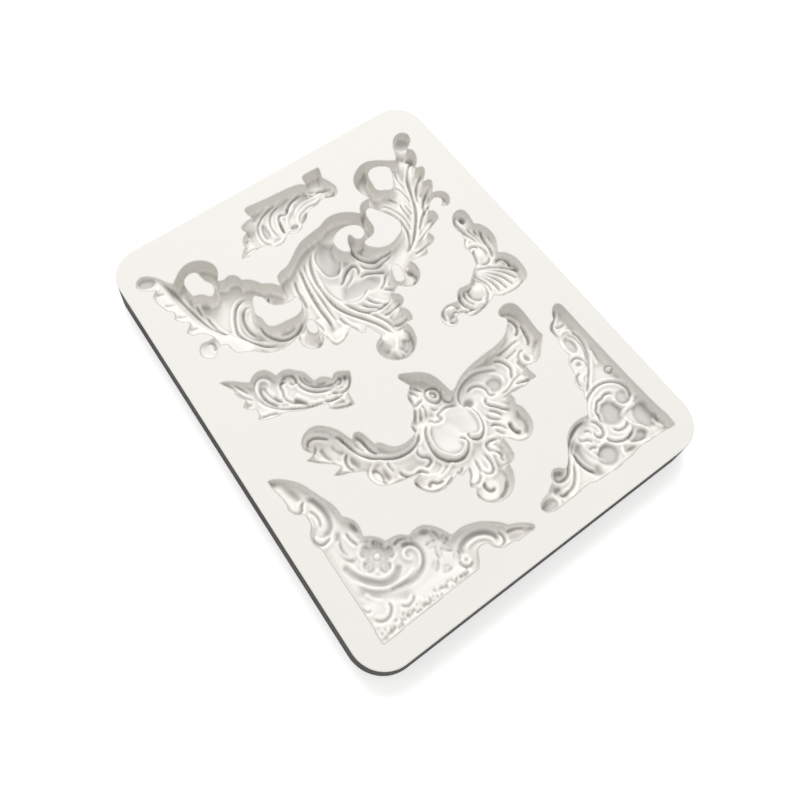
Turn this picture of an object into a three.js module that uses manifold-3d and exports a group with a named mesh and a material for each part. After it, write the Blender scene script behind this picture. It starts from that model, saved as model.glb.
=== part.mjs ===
// Silicone mould for casting resin, clay or fondant: a soft rounded slab with seven baroque ornament
// cavities sunk into its upper face. Units are millimetres, +Z is up, and the origin is the centre of
// the underside. +Y runs along the long side. The slab is one casting. It is drawn as seven adjoining
// cells, one to each cavity, with a hairline parting between neighbours.
import * as THREE from 'three';
import { mergeVertices } from 'three/addons/utils/BufferGeometryUtils.js';
import Module from 'manifold-3d';

// Slab
const WIDTH = 116.6;
const LENGTH = 146.2;
const HEIGHT = 11.5;
const CORNER_RADIUS = 10;
const FLARE = 1.2; // how far the underside spreads beyond the rim on each side
const PARTING = 0.3; // gap between neighbouring cells
const TALL = 40; // reach of the cutting prisms, well past the slab

// Middle of the ornament layout, measured from the middle of the slab. Cavities and partings are drawn
// about the middle of the layout.
const LAYOUT_X = -0.8;
const LAYOUT_Y = -0.7;

// Curve sampling
const CURVE_STEP = 1.25; // length of one chord on a cavity outline
const CORNER_STEPS = 12;

// Each cavity is a closed chain of smooth runs. A run starts where the one before it ended, so every
// list below is the rest of one run, and the last point of each list is a cusp between two lobes.
// Islands are closed smooth loops of rubber left standing inside a cavity: the pierced eyes of scrolls.
const LARGE_ACANTHUS = {
  name: 'large_acanthus_cell',
  depth: 7,
  runs: [
    // left bulb and arch
    [[-48.6, 57.2], [-51, 58.7], [-52.6, 60.8], [-52, 62.8], [-50, 63.6], [-47.4, 62.2], [-45.2, 59.4],
      [-44, 57.2], [-42.8, 55.9]],
    [[-41, 57.3], [-38.6, 59], [-35.8, 59.7], [-32.8, 59], [-30.2, 57], [-28.9, 54.3], [-29.2, 51.6],
      [-30.9, 48.9]],
    // crest of the left wing
    [[-29.3, 48.1], [-27.3, 48.5], [-25.5, 47.6], [-24.7, 45.9], [-24.7, 44.9]],
    [[-22.6, 43.7], [-20.9, 41.6], [-20.1, 40.1]],
    [[-18.2, 39], [-16.5, 37.2], [-15.6, 35.6]],
    // brow of the centre leaf
    [[-15.4, 37.6], [-14.7, 39.6], [-13, 40.5], [-10.5, 40.9], [-7.5, 42.6], [-4.5, 44.6], [-1.5, 46],
      [2, 46.7], [6, 47.2], [9, 48.3], [12, 48.5], [15.2, 47.5], [17.8, 45.8], [19.9, 43.7]],
    // crest and arch of the right wing
    [[21.1, 45.8], [23, 47], [25.9, 46.9]],
    [[25, 49.2], [24.4, 51.8], [24.8, 54.3], [26.2, 56.7], [28.6, 58.5], [31.5, 59.5], [34.3, 59.1],
      [37.3, 57.4], [40, 55.4], [42, 54.3]],
    // right bulb
    [[43.2, 56.4], [44.8, 60], [46.8, 62.2], [49, 62.9], [51, 62], [51.6, 60.2], [50.5, 57.8],
      [47.4, 55.9]],
    // fingers down the right edge
    [[48.7, 55.2], [49.1, 53.6], [48.2, 51], [46.3, 48.9], [45.1, 47.9]],
    [[46.6, 47.6], [47.9, 46.9], [47, 44.9], [45, 43], [43.8, 42]],
    [[45.5, 41.9], [46.8, 41.3], [46, 39.3], [44.7, 37.8], [43.7, 36.9]],
    [[45.8, 36.4], [47.6, 34.6], [47.6, 32.4], [46.4, 30.7], [44.8, 30.2], [43.2, 31]],
    [[44.8, 32.6], [44.5, 34.3], [42.7, 34.9], [40.6, 33.9], [38.6, 31.8]],
    [[40, 31], [40.2, 29.2], [39.6, 27.9], [37, 27], [33.4, 25.5]],
    [[34, 24.2], [33.8, 22.5], [32, 21.6], [29.6, 21.3]],
    [[29.1, 19.9], [28, 19.3], [25.5, 19.9], [22.5, 20.4]],
    // right drop
    [[23.2, 18.4], [22.9, 15.8], [21.2, 13.6], [18.7, 12.7], [16.4, 13.6], [14.3, 15.5]],
    // fan below the centre
    [[13.2, 15.1], [12, 14.3], [10.6, 13.7]],
    [[12.2, 13.5], [13, 12], [12.8, 10.5], [11.2, 9.4], [8.8, 9.1]],
    [[10.6, 8.7], [11.7, 7], [11.7, 5], [11, 3.7], [8.3, 4.1]],
    // end volute
    [[9, 2.6], [8.9, 0], [7.7, -2.9], [5.2, -4.9], [2.2, -5.5], [-0.9, -4.5], [-3.2, -2], [-3.8, 0.6],
      [-3, 3], [-0.9, 4.1], [0.3, 4.5]],
    [[-0.3, 6.2], [-0.9, 8], [-1.7, 10]],
    // fingers below the centre
    [[-2.3, 9], [-3.3, 8.4], [-4.4, 8.9], [-5, 10.7], [-6.2, 12.4]],
    [[-7.6, 11], [-9.7, 9.9], [-12, 9.5], [-13.3, 10.4], [-13.6, 13], [-14.3, 15.7]],
    // left drop
    [[-14.9, 13.4], [-17.2, 11.9], [-19.9, 13.5], [-21.1, 16.3], [-20.4, 18.5], [-18.9, 19.7]],
    // belly of the left scroll
    [[-21.4, 18.6], [-25, 17.9], [-28.2, 18.3], [-31.2, 19.6], [-34, 22.3]],
    [[-36.2, 23.6], [-38.3, 24.7], [-38.9, 26.2], [-39.3, 28.6]],
    [[-41, 29.5], [-42.6, 29.1], [-43.6, 27.7], [-45.4, 27.3], [-47.2, 29], [-47.5, 31], [-46, 33],
      [-44, 32.8], [-41.2, 32.6]],
    // fingers up the left edge
    [[-42.8, 35.2], [-44.6, 36.6], [-46.4, 37.1], [-47.5, 38.9]],
    [[-46.4, 39.8], [-44.8, 41.4]],
    [[-46.8, 42.8], [-48.3, 44.8]],
    [[-47.6, 46], [-47.2, 47.2]],
    [[-48.6, 48.6], [-49.5, 51.2], [-50.1, 53.8], [-49.8, 55.6], [-47.4, 57.4]],
  ],
  islands: [
    [[-40, 53.8], [-38.7, 55.5], [-36.6, 56], [-34.8, 55.1], [-34.4, 53], [-34, 51], [-33, 49.3],
      [-32.8, 47.8], [-33.7, 46.2], [-34.8, 45.3], [-35.8, 45.7], [-36.7, 47], [-38.3, 48.1],
      [-39.6, 48.4], [-40, 50.2], [-40.1, 52]],
    [[-24.3, 38], [-23, 36.6], [-22.2, 35.6], [-22, 33.6], [-20.8, 31.7], [-18.3, 30.4], [-15.5, 30.2],
      [-13.7, 30.4], [-13.3, 28], [-14.4, 26], [-17, 24.8], [-21, 25.1], [-24.6, 25.6], [-26.2, 27],
      [-26.4, 30], [-27.2, 32.4], [-26.7, 34.4], [-25.6, 36.6]],
    [[6.4, 38.6], [6.9, 40.4], [8.8, 41.9], [11.8, 42.6], [14.8, 41.9], [16.9, 40.2], [17.2, 38],
      [16.3, 36.5], [14.4, 36], [13.2, 36.7], [12.8, 38.2], [12.2, 39.4], [11, 38.3], [10, 36.2],
      [9.2, 33.9], [7.6, 34.9], [6.6, 36.6]],
    [[23.6, 43.8], [25, 42], [26.6, 39.3], [28, 36.5], [28.5, 33.6], [27.2, 31.2], [24, 29.6],
      [21.3, 28.9], [18.5, 29.3], [16.3, 30.7], [14.9, 32.4], [14.6, 34.1], [16.5, 34.7], [19, 35.2],
      [20.4, 37], [20.7, 39.5], [21.1, 42], [22.1, 43.7]],
    [[30.4, 54], [31.5, 55.6], [34, 56.2], [36.5, 55], [38.2, 53.4], [38, 51.5], [37, 49.4],
      [35.7, 47.2], [34.6, 45.9], [33.3, 45.7], [31.9, 46.6], [30.2, 47.5], [29.5, 48.8], [29.8, 50.5],
      [30.1, 52.5]],
    [[14.8, 17], [15.3, 19.3], [16.2, 21.5], [17.4, 22.6], [18.6, 21.5], [18.8, 19.8], [18.1, 17.6],
      [17.3, 16.2], [15.9, 15.9]],
    [[-16.9, 18], [-16.8, 19.8], [-15.6, 21.3], [-14.5, 21.5], [-13.8, 20.2], [-14, 17.8],
      [-14.9, 16.6], [-16.2, 16.7]],
  ],
};

const CREST_LEAF = {
  name: 'crest_leaf_cell',
  depth: 6.2,
  runs: [
    [[-19.6, 52.4], [-18.4, 53.6], [-17.5, 54.2]],
    [[-17.2, 55.7], [-16.8, 57], [-15.9, 57.9], [-14.2, 58.8]],
    [[-14.8, 60.2], [-14.7, 61.3], [-13.3, 62.1], [-11.5, 62.5], [-9.8, 62.4]],
    [[-10.4, 64.6], [-10.3, 66.4], [-9.2, 67], [-7, 66.8], [-3, 66.3], [2, 65.9], [6, 65.6], [9, 65],
      [10.8, 64.1], [11.6, 62.8]],
    [[11.8, 65], [12.2, 66.6], [13.4, 67.1], [16, 67.1], [18.9, 66.9]],
    [[18.5, 65.2], [17.6, 62.6]],
    [[18.2, 61.2], [19, 59], [19.3, 57.2], [18.8, 55.6], [17.8, 54.5], [16.5, 54.2], [14.7, 54.9]],
    [[13.2, 55.5], [11.8, 55.3], [10.2, 54.6], [8.8, 54.3], [7.4, 54.9]],
    [[5.9, 53.8], [4.6, 52.3], [2, 51]],
    [[1.5, 50.2], [0.2, 49.7], [-1, 49.6], [-2.3, 50.3], [-4.2, 50.9]],
    [[-4.7, 50.1], [-5.8, 49.2], [-7.3, 48.7], [-8.9, 48.9], [-10.4, 50], [-11.6, 51.4]],
    [[-13.5, 51.6], [-15.8, 51.4], [-18.2, 51], [-20.6, 51.2]],
  ],
  islands: [],
};

const LEAF_SCROLL = {
  name: 'leaf_scroll_cell',
  depth: 5.6,
  runs: [
    [[-45.5, 18.4], [-43.4, 16.8], [-41.5, 15.1], [-40.2, 14.3]],
    [[-39.5, 15.1], [-37.6, 15.9], [-35.4, 15.6], [-33.9, 14.2], [-32.9, 11.6]],
    [[-31.9, 12], [-30.2, 12], [-28.4, 11.1], [-27.2, 9.7], [-26, 8.6], [-25.2, 7], [-24.6, 4]],
    [[-23.2, 4.1], [-21.6, 3.6], [-20.4, 2.3], [-19.7, 1.6]],
    [[-19, 2.4], [-17.8, 2.7], [-16.2, 1.9], [-14.3, 0.7]],
    [[-15.1, -1.4], [-16.6, -3.2], [-18.4, -4.2]],
    [[-18.6, -6], [-18.9, -8.6]],
    [[-21, -8.2], [-23.4, -7.3], [-25.7, -5.7]],
    [[-25.2, -5], [-24.8, -4.1]],
    [[-26.7, -3.3], [-29.5, -2.5], [-32.5, -1.4], [-35, -0.1], [-37, 1], [-38.8, 1.1]],
    [[-41, 1.6], [-43.1, 2.4], [-44, 3.4]],
    [[-43.2, 4.4], [-42.9, 6.4]],
    [[-44.8, 7.4], [-45.9, 8.9]],
    [[-44.9, 9.7], [-44, 10.4]],
    [[-45.1, 12], [-45.7, 13.7]],
    [[-45.2, 14.4], [-45.9, 16], [-46.8, 17.6], [-47.8, 19.5]],
  ],
  islands: [],
};

const SHELL_CORNER = {
  name: 'shell_corner_cell',
  depth: 5.8,
  runs: [
    // top bulb
    [[41.7, 21], [42, 23.2], [43.2, 25.3], [45, 26.5], [46.8, 26.6], [48.1, 25.6], [48.4, 23.6],
      [48, 21.4], [47.7, 19.6]],
    [[48.8, 18.8], [49.8, 17], [50.3, 14.7], [50.2, 12.6], [49.4, 10.4], [48.2, 8.6], [47.2, 7]],
    // shell fan
    [[49.1, 5.4], [50.3, 3.2], [50.7, 0.8], [50.4, -2.2], [49.4, -4.6], [47.4, -5.5], [45.4, -6],
      [43.4, -6.4], [41, -6.1], [38.6, -5.7], [36.4, -4]],
    [[34.6, -4.8], [32, -5.7], [29.4, -6.1], [27, -6], [25.9, -5.2], [25.2, -3.6]],
    // left curl
    [[23.9, -3], [22.4, -3.3]],
    [[22, -4.7], [20.8, -5.4], [19.2, -5], [18.2, -3.5], [18.2, -1.7], [19, 0], [20.6, 1], [23, 1.3],
      [25.9, 0.5]],
    [[26.8, 1.7], [27.8, 3], [29, 3.6], [31, 3.4], [33, 3.2]],
    [[34.2, 4.2], [35.4, 5.1], [36.8, 6.2], [38.6, 7]],
    [[39.4, 9], [40, 11], [40.2, 12.8]],
    [[39.8, 14], [40.4, 15.6], [41.7, 17]],
    [[41.9, 18.2], [42.2, 19.2]],
  ],
  islands: [],
};

const CARTOUCHE = {
  name: 'cartouche_cell',
  depth: 6.4,
  runs: [
    // left hook and arm
    [[-37.6, -13], [-38.4, -11.3], [-37.9, -9.4], [-36, -7.8], [-33.4, -7.3], [-31.2, -8], [-29.4, -9.6],
      [-27.6, -11.9], [-26.6, -14.2], [-25.6, -17.2]],
    [[-24.9, -16.1], [-24, -15.6], [-22.9, -16], [-22, -17.5], [-21.6, -19.4], [-21.1, -21.6]],
    [[-20.3, -21.7], [-19.3, -22.5], [-18.4, -24], [-17, -25.4], [-15, -26.1], [-12.4, -26.2],
      [-9.7, -25.6]],
    [[-9.8, -24], [-9.2, -22.8], [-8, -22.1], [-6.8, -20.6], [-5.6, -18.9]],
    // rosette
    [[-5.5, -17], [-5.1, -15.3], [-4, -14.5], [-2.5, -13]],
    [[-3.2, -11.4], [-3.9, -9.7], [-3.4, -8.6], [-2.3, -8.8], [-0.4, -9.8], [2, -11.2], [3.9, -12.9],
      [5.2, -15.2], [5.8, -18], [6.3, -21.6]],
    // right arm
    [[8, -21.1], [10.2, -19.9], [13.4, -18.8], [17.5, -18.1], [22, -17.8], [26, -17.6], [29.4, -16.9],
      [31.8, -15.6], [34, -13.6]],
    [[34.4, -12.4], [33.5, -11.1], [33.5, -9.8], [35, -8.8], [37.2, -8.5], [39.2, -9.4], [40.1, -11.5],
      [40.2, -14.5], [39.9, -18], [39.7, -21], [39.9, -22.8]],
    [[38.6, -24.2], [37, -25.4], [35.3, -27.2], [33.4, -28.2], [31.4, -28.1], [29.2, -27.6]],
    [[29.3, -29.8], [29.7, -32.2]],
    [[27.7, -31.8], [25.6, -32.2], [22.6, -32], [19.7, -31.6]],
    // lower right lobes
    [[20, -33.3], [19.2, -35.2]],
    [[20.1, -36.8], [20.2, -39.3], [19.6, -42], [18, -43.9], [15.4, -44.8], [13, -44.2], [11.6, -42.5],
      [9.8, -40.4]],
    [[9.7, -43], [9.2, -46.3], [7.8, -47.3], [6.3, -47.4]],
    // foot volute
    [[5.8, -50], [3.8, -52.8], [1, -54.2], [-1.8, -54.3], [-4.6, -53], [-6.3, -50.7], [-6.3, -48.9],
      [-4.6, -47.2]],
    [[-6.4, -46.9], [-6, -45.4], [-4.6, -43.9], [-3.9, -42]],
    [[-5.2, -42.2], [-6.3, -42.7], [-7.2, -41.5]],
    // lower left lobes
    [[-8.8, -42], [-11, -42.6], [-14, -42.6], [-16.6, -41.3], [-18.2, -39], [-18.7, -37.2],
      [-18.1, -36.2], [-16.8, -36], [-15, -35.5]],
    [[-16.8, -35.2], [-18.6, -34.8], [-21.5, -34.2], [-24.4, -33.2], [-26.5, -32], [-27.7, -30],
      [-27.9, -28], [-27.5, -26.5]],
    [[-29.6, -25.2], [-32, -24.1], [-34.3, -23.3], [-35.7, -22.4]],
    [[-34.3, -22.1], [-32.3, -21.6]],
    [[-33.3, -20.4], [-35, -18.8], [-37.4, -16.9], [-39.6, -14.6]],
    [[-38.3, -14.6], [-36.6, -14]],
  ],
  islands: [],
};

const SCROLL_BRACKET = {
  name: 'scroll_bracket_cell',
  depth: 5.8,
  runs: [
    [[46.8, -19.4], [48, -18], [49.6, -17.2], [51, -17.9], [51.4, -19.8]],
    [[51.4, -30], [51.7, -46], [52.2, -58], [52.7, -62.5], [52.4, -65.8]],
    [[50.8, -65.7], [48.2, -65.2], [44, -65], [40, -64.7], [36.5, -65.2], [31, -65.5], [26, -65.3],
      [22.6, -64.9], [20.4, -64.3], [15, -64.7], [10, -64.7], [7, -64.2], [5.6, -62.9], [5.7, -61.7],
      [6.9, -60.6], [10, -60]],
    [[11.2, -59.1], [13.2, -58.2]],
    [[13.4, -57.2], [14.3, -56.1], [15.6, -55.8], [17.1, -56.5], [18.2, -57.7]],
    [[19.6, -56.9], [21, -55.6], [22.4, -53.9], [24, -51.8], [26, -50.1], [28.4, -49.2], [30.8, -49],
      [34, -49.5]],
    [[35.1, -48], [36.6, -46.1]],
    [[37, -44.6], [38, -43.4]],
    [[37.4, -42.2], [37.3, -40.8], [38, -39.3], [39.3, -38.3]],
    [[39.6, -36.4], [40, -34.8], [40.9, -33.4], [42.2, -32.8]],
    [[42, -30.8], [41.9, -29], [42.3, -27.5], [43, -26.5]],
    [[42.7, -24.8], [42.8, -23], [43.7, -21.8], [46, -20.8]],
  ],
  islands: [],
};

const FLOWER_BRACKET = {
  name: 'flower_bracket_cell',
  depth: 5.6,
  runs: [
    [[-49.8, -13.9], [-47.6, -15.5], [-45.6, -17.6], [-44, -20], [-42.9, -22.7], [-41.8, -25.4],
      [-40.7, -28], [-40.2, -30.2], [-40.1, -33]],
    [[-39.2, -34], [-38.2, -35.5], [-37.8, -37.3], [-38.1, -39.2], [-38.5, -40.6]],
    [[-36.8, -41.6], [-35.3, -43.1], [-34.3, -44.9]],
    [[-32.2, -45.1], [-30, -45.8], [-28.3, -47.3]],
    [[-26.4, -46.9], [-24, -47.1], [-22.3, -48.2], [-21, -49.6], [-19.9, -51.3], [-18.8, -53.8]],
    [[-16, -53.6], [-13.4, -54.1], [-10.6, -55.2], [-8, -56.9], [-5.8, -58.8], [-4.6, -60.4]],
    [[-2.6, -61.2], [-0.2, -62.8], [1.2, -64.4], [0.6, -65.1]],
    [[-2, -65.1], [-4.8, -65], [-6.6, -64.3], [-9.2, -64.2], [-10.6, -63.4], [-11.6, -62.2]],
    [[-12.2, -60.8], [-14.6, -60.3], [-16, -61.6], [-17, -63.4], [-18.4, -64.6]],
    [[-30, -64.8], [-40, -65], [-48.6, -65.3], [-49.7, -64.4]],
    [[-49.4, -58], [-49.5, -50], [-49.5, -43], [-49.4, -37]],
    [[-50.2, -35.4], [-50.4, -33.6], [-49.7, -31.8], [-48.3, -30.2]],
    [[-47.9, -28.5], [-48, -27.2], [-48.6, -26.2]],
    [[-49.6, -25.8], [-50.6, -24.5], [-51, -23], [-50.6, -21.4]],
    [[-50.9, -18.5], [-51.5, -15.8], [-51.6, -13.2]],
  ],
  islands: [],
};

// Partings between the cells, each a polyline down the middle of the land between two cavities. They
// meet at five junctions, and those that leave the slab run on to FAR.
const FAR = 90;
const NORTH_WEST = [-9.5, -6];
const NORTH_EAST = [9, -8.5];
const WEST = [-43, -4.5];
const EAST = [44, -8];
const SOUTH = [3.2, -61];
const PARTINGS = {
  crest: [[-24.5, FAR], [-24.5, 49.5], [-9, 47.2], [-1.5, 48], [4, 49.6], [12, 50.2], [20.5, 51],
    [22.3, 58], [22.3, FAR]],
  left: [[-FAR, 22.5], [-46, 22], [-40, 19.5], [-33, 16], [-27, 14.5], [-22, 9.5], [-13, 6], [-10, 0],
    NORTH_WEST],
  right: [NORTH_EAST, [14.5, 0], [17, 4], [28, 8], [37.5, 14], [38.5, 24], [44.5, 28.6], [FAR, 30]],
  middle: [NORTH_WEST, [-2, -7.2], [3, -8], NORTH_EAST],
  arm: [NORTH_WEST, [-16, -11], [-21, -11.5], [-27, -8.5], [-33, -4.5], WEST],
  shell: [NORTH_EAST, [16, -9], [26, -9], [31, -7.4], [38, -7.1], EAST],
  flower: [WEST, [-43.5, -13], [-39.5, -20], [-33, -29], [-28, -38], [-18, -45], [-12, -51], [-3, -58],
    SOUTH],
  bracket: [SOUTH, [6, -57], [12, -52], [22, -48], [30, -43], [34.5, -38], [38, -30], [41.2, -24],
    [42.8, -18], [43.5, -12], EAST],
  west: [WEST, [-FAR, -4.5]],
  east: [EAST, [FAR, -9.5]],
  foot: [SOUTH, [3.2, -FAR]],
};

// The cells, each with the partings that go round it and any corner outside the slab. A name with a
// minus sign is a parting followed backwards.
const CELLS = [
  { cavity: LARGE_ACANTHUS, color: 0xf1eee6,
    ring: ['left', 'middle', 'right', [FAR, FAR], '-crest', [-FAR, FAR]] },
  { cavity: CREST_LEAF, color: 0xefece4, ring: ['crest'] },
  { cavity: LEAF_SCROLL, color: 0xf2efe8, ring: ['left', 'arm', 'west'] },
  { cavity: SHELL_CORNER, color: 0xf0ede5, ring: ['right', '-east', '-shell'] },
  { cavity: CARTOUCHE, color: 0xf3f0e9, ring: ['middle', 'shell', '-bracket', '-flower', '-arm'] },
  { cavity: SCROLL_BRACKET, color: 0xeeebe3, ring: ['bracket', 'east', [FAR, -FAR], '-foot'] },
  { cavity: FLOWER_BRACKET, color: 0xf1eee7, ring: ['flower', 'foot', [-FAR, -FAR], '-west'] },
];

const wasm = await Module();
wasm.setup();

function toManifold(geometry) {
  geometry.deleteAttribute('normal');
  geometry.deleteAttribute('uv');
  const merged = mergeVertices(geometry, 1e-5);
  return new wasm.Manifold(new wasm.Mesh({
    numProp: 3,
    vertProperties: new Float32Array(merged.attributes.position.array),
    triVerts: new Uint32Array(merged.index.array),
  }));
}

function toGeometry(solid) {
  const mesh = solid.getMesh();
  const geometry = new THREE.BufferGeometry();
  geometry.setAttribute('position', new THREE.BufferAttribute(mesh.vertProperties, 3));
  geometry.setIndex(new THREE.BufferAttribute(mesh.triVerts, 1));
  geometry.computeVertexNormals();
  return geometry;
}

const vectors = (points) => points.map(([x, y]) => new THREE.Vector2(x, y));

// A straight prism over a shape, from the height bottom to the height top.
function prism(shape, bottom, top) {
  const geometry = new THREE.ExtrudeGeometry(shape, { depth: top - bottom, bevelEnabled: false, steps: 1 });
  return geometry.translate(0, 0, bottom);
}

function samples(curve, controlPoints) {
  const chords = Math.max(controlPoints, Math.ceil(curve.getLength() / CURVE_STEP));
  return curve.getPoints(chords).slice(1);
}

// The outline of a cavity, anticlockwise: a spline through the points of each run, from the cusp
// before it.
function outline(runs) {
  const points = [];
  let start = runs.at(-1).at(-1);
  for (const run of runs) {
    const curve = new THREE.SplineCurve(vectors([start, ...run]));
    points.push(...samples(curve, run.length));
    start = run.at(-1);
  }
  return points.reverse();
}

// A closed smooth loop through the points of an island.
function island(points) {
  const loop = points.map(([x, y]) => new THREE.Vector3(x, y, 0));
  const curve = new THREE.CatmullRomCurve3(loop, true);
  return new THREE.Path(samples(curve, points.length).map(({ x, y }) => new THREE.Vector2(x, y)));
}

function cavitySolid({ runs, islands, depth }) {
  const shape = new THREE.Shape(outline(runs));
  shape.holes = islands.map(island);
  return toManifold(prism(shape, HEIGHT - depth, HEIGHT + 1));
}

// The whole slab, placed round the layout: a rounded rectangle at the rim that spreads to the
// underside.
function slabSolid() {
  const x = WIDTH / 2 - CORNER_RADIUS;
  const y = LENGTH / 2 - CORNER_RADIUS;
  const turn = Math.PI / 2;
  const points = [];
  [[x, y], [-x, y], [-x, -y], [x, -y]].forEach(([centreX, centreY], corner) => {
    for (let step = 0; step <= CORNER_STEPS; step += 1) {
      const angle = turn * (corner + step / CORNER_STEPS);
      points.push(new THREE.Vector2(
        centreX + CORNER_RADIUS * Math.cos(angle),
        centreY + CORNER_RADIUS * Math.sin(angle),
      ));
    }
  });
  const geometry = prism(new THREE.Shape(points), 0, HEIGHT);
  const position = geometry.attributes.position;
  for (let i = 0; i < position.count; i += 1) {
    if (position.getZ(i) < HEIGHT / 2) {
      position.setX(i, position.getX(i) * (1 + FLARE / (WIDTH / 2)));
      position.setY(i, position.getY(i) * (1 + FLARE / (LENGTH / 2)));
    }
  }
  return toManifold(geometry.translate(-LAYOUT_X, -LAYOUT_Y, 0));
}

// The corners of a cell, from the partings round it.
function cellRing(ring) {
  const corners = [];
  for (const part of ring) {
    if (Array.isArray(part)) {
      corners.push(part);
    } else if (part.startsWith('-')) {
      corners.push(...PARTINGS[part.slice(1)].toReversed());
    } else {
      corners.push(...PARTINGS[part]);
    }
  }
  return corners.filter((corner, i) => corner !== corners.at(i - 1));
}

// The same ring drawn in by a distance on every side.
function drawnIn(ring, distance) {
  const points = vectors(ring);
  const inward = THREE.ShapeUtils.isClockWise(points) ? -1 : 1;
  const normal = (from, to) => {
    const side = to.clone().sub(from).normalize();
    return new THREE.Vector2(-side.y, side.x).multiplyScalar(inward);
  };
  return points.map((point, i) => {
    const before = normal(points.at(i - 1), point);
    const after = normal(point, points[(i + 1) % points.length]);
    const reach = distance / (1 + before.dot(after));
    return point.clone().add(before.add(after).multiplyScalar(reach));
  });
}

function cellMesh(slab, { cavity, color, ring }) {
  const block = new THREE.Shape(drawnIn(cellRing(ring), PARTING / 2));
  const solid = slab
    .intersect(toManifold(prism(block, -TALL, TALL)))
    .subtract(cavitySolid(cavity));
  const material = new THREE.MeshStandardMaterial({ color, roughness: 0.55, metalness: 0 });
  const mesh = new THREE.Mesh(toGeometry(solid).translate(LAYOUT_X, LAYOUT_Y, 0), material);
  mesh.name = cavity.name;
  return mesh;
}

const mould = new THREE.Group();
const slab = slabSolid();
for (const cell of CELLS) {
  mould.add(cellMesh(slab, cell));
}

export default mould;
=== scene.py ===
"""Looks of the silicone resin casting mould: one continuous rubber skin with seven ornament cavities.

The CAD model parts the slab into seven adjoining cells, one round each cavity. The real mould is one
casting, so a single closed skin stands for all of them here. The rims of the cavities and the heights of
their floors are read from the CAD nodes; the relief on the floors is drawn below. Relief coordinates are
millimetres, X across the slab, Y along it and Z up, about the middle of the ornaments' layout, which is
a little off the slab's own middle.
"""

import math

import bpy
import numpy as np
from mathutils import Matrix, Vector


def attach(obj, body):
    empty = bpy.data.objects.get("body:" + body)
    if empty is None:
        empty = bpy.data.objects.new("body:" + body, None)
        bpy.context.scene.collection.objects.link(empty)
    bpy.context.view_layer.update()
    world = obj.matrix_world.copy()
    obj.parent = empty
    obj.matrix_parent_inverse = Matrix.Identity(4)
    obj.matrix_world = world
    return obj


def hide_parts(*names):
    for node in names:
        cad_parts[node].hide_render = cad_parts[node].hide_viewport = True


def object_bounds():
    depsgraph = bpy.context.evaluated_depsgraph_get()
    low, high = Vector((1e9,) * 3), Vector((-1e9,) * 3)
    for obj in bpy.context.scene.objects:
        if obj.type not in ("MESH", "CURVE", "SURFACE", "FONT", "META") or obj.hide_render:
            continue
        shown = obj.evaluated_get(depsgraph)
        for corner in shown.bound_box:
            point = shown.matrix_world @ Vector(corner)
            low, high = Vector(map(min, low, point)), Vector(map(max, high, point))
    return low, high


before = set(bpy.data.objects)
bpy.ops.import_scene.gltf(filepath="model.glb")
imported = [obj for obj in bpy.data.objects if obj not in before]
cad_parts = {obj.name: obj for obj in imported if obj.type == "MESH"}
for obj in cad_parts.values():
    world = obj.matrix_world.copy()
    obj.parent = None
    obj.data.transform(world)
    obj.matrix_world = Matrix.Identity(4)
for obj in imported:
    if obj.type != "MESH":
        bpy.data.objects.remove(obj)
cad_lo, cad_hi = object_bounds()

MM = 0.001
TOP = cad_hi.z / MM  # height of the upper face
LAYOUT_X = -0.8  # middle of the ornaments' layout, from the middle of the slab
LAYOUT_Y = -0.7
GRID = 0.33  # spacing of the skin's vertices
TOUCH = 0.01  # heights closer than this are the same
CORNER_RADIUS = 10.0  # of the slab, seen from above
EDGE_INSET = 0.3  # the slab's upper edge is rounded over this width
TILE_SIZES = (16, 4)  # cells along the sides of the larger faces that the flat land is made of

# the walls and floors of the cavities
RIM_REACH = 3.0  # distance over which a cavity wall can shape the floor
WALL_SHARE = 0.62  # share of a cavity's depth that is a plain upright wall
BOWL_WALL_CUT = 0.5  # share of that wall that a bowl-shaped end does without
FOOT_RUN = 1.5  # the wall rounds into the floor over this distance
BOWL_FOOT_GAIN = 0.9  # share by which that distance is longer in a bowl-shaped end
LIFT_BLUR = 0.8  # softens the borders of the shallower places
BOWL_BLUR = 0.6  # and those of the bowl-shaped ends
RELIEF_START = 0.5  # the relief fades in over this distance from a rim
RELIEF_GAIN = 1.35  # the relief is this much stronger than its strokes say
STEP_WIDTH = 0.36  # of the overlapping edge of a fold
THINNEST = 1.6  # least rubber left under a cavity
LEAST_DEPTH = 0.6  # of a cavity
LIP_IN = 0.1  # the small radius below a rim: how far in it comes and how far down
LIP_DOWN = 0.16
FOOT_IN = 0.14  # how far in from the rim the upright wall ends

# tones, which the colour of the rubber is multiplied by: painted shade and painted highlight
CAVITY_TONE = 1.01  # of a flat floor
PAINTED_RIM_SHADE = 0.56  # painted shade on a cavity's rim above the wall that faces RIM_DARK_WAY
RIM_DARK_WAY = (0.57, 0.82)  # seen from above, towards +X and +Y
RIM_DARK_GAIN = 0.8  # how fast a rim gets darker as it turns to that side
PAINTED_LIP_SHADE = 0.9  # painted shade on the lower edge of the small radius
PAINTED_FOOT_SHADE = 0.98  # painted shade on the lower edge of the upright wall
PAINTED_SIDE_SHADE = 0.07  # painted shade: the slab's outer wall is coloured dark
PAINTED_SIDE_LINE_SHADE = 0.0  # painted shade on the two edges of that wall
POCKET_SHADE_TONE = 0.24  # painted shade: how much darker the floor of a pocket or trough is
POCKET_SHADE_BLUR = 0.3  # softens the borders of that painted shade

# How the tone follows the height against its surroundings, at three scales, as painted shade in hollows
# and
# painted highlight on ridges: the spread of the surroundings, the difference in height that counts in
# full, and how much darker a hollow and how much paler a ridge then is.
SHADING = ((0.4, 0.18, 0.29, 0.11), (1.1, 0.6, 0.12, 0.05), (3.0, 1.6, 0.05, 0.03))
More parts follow.
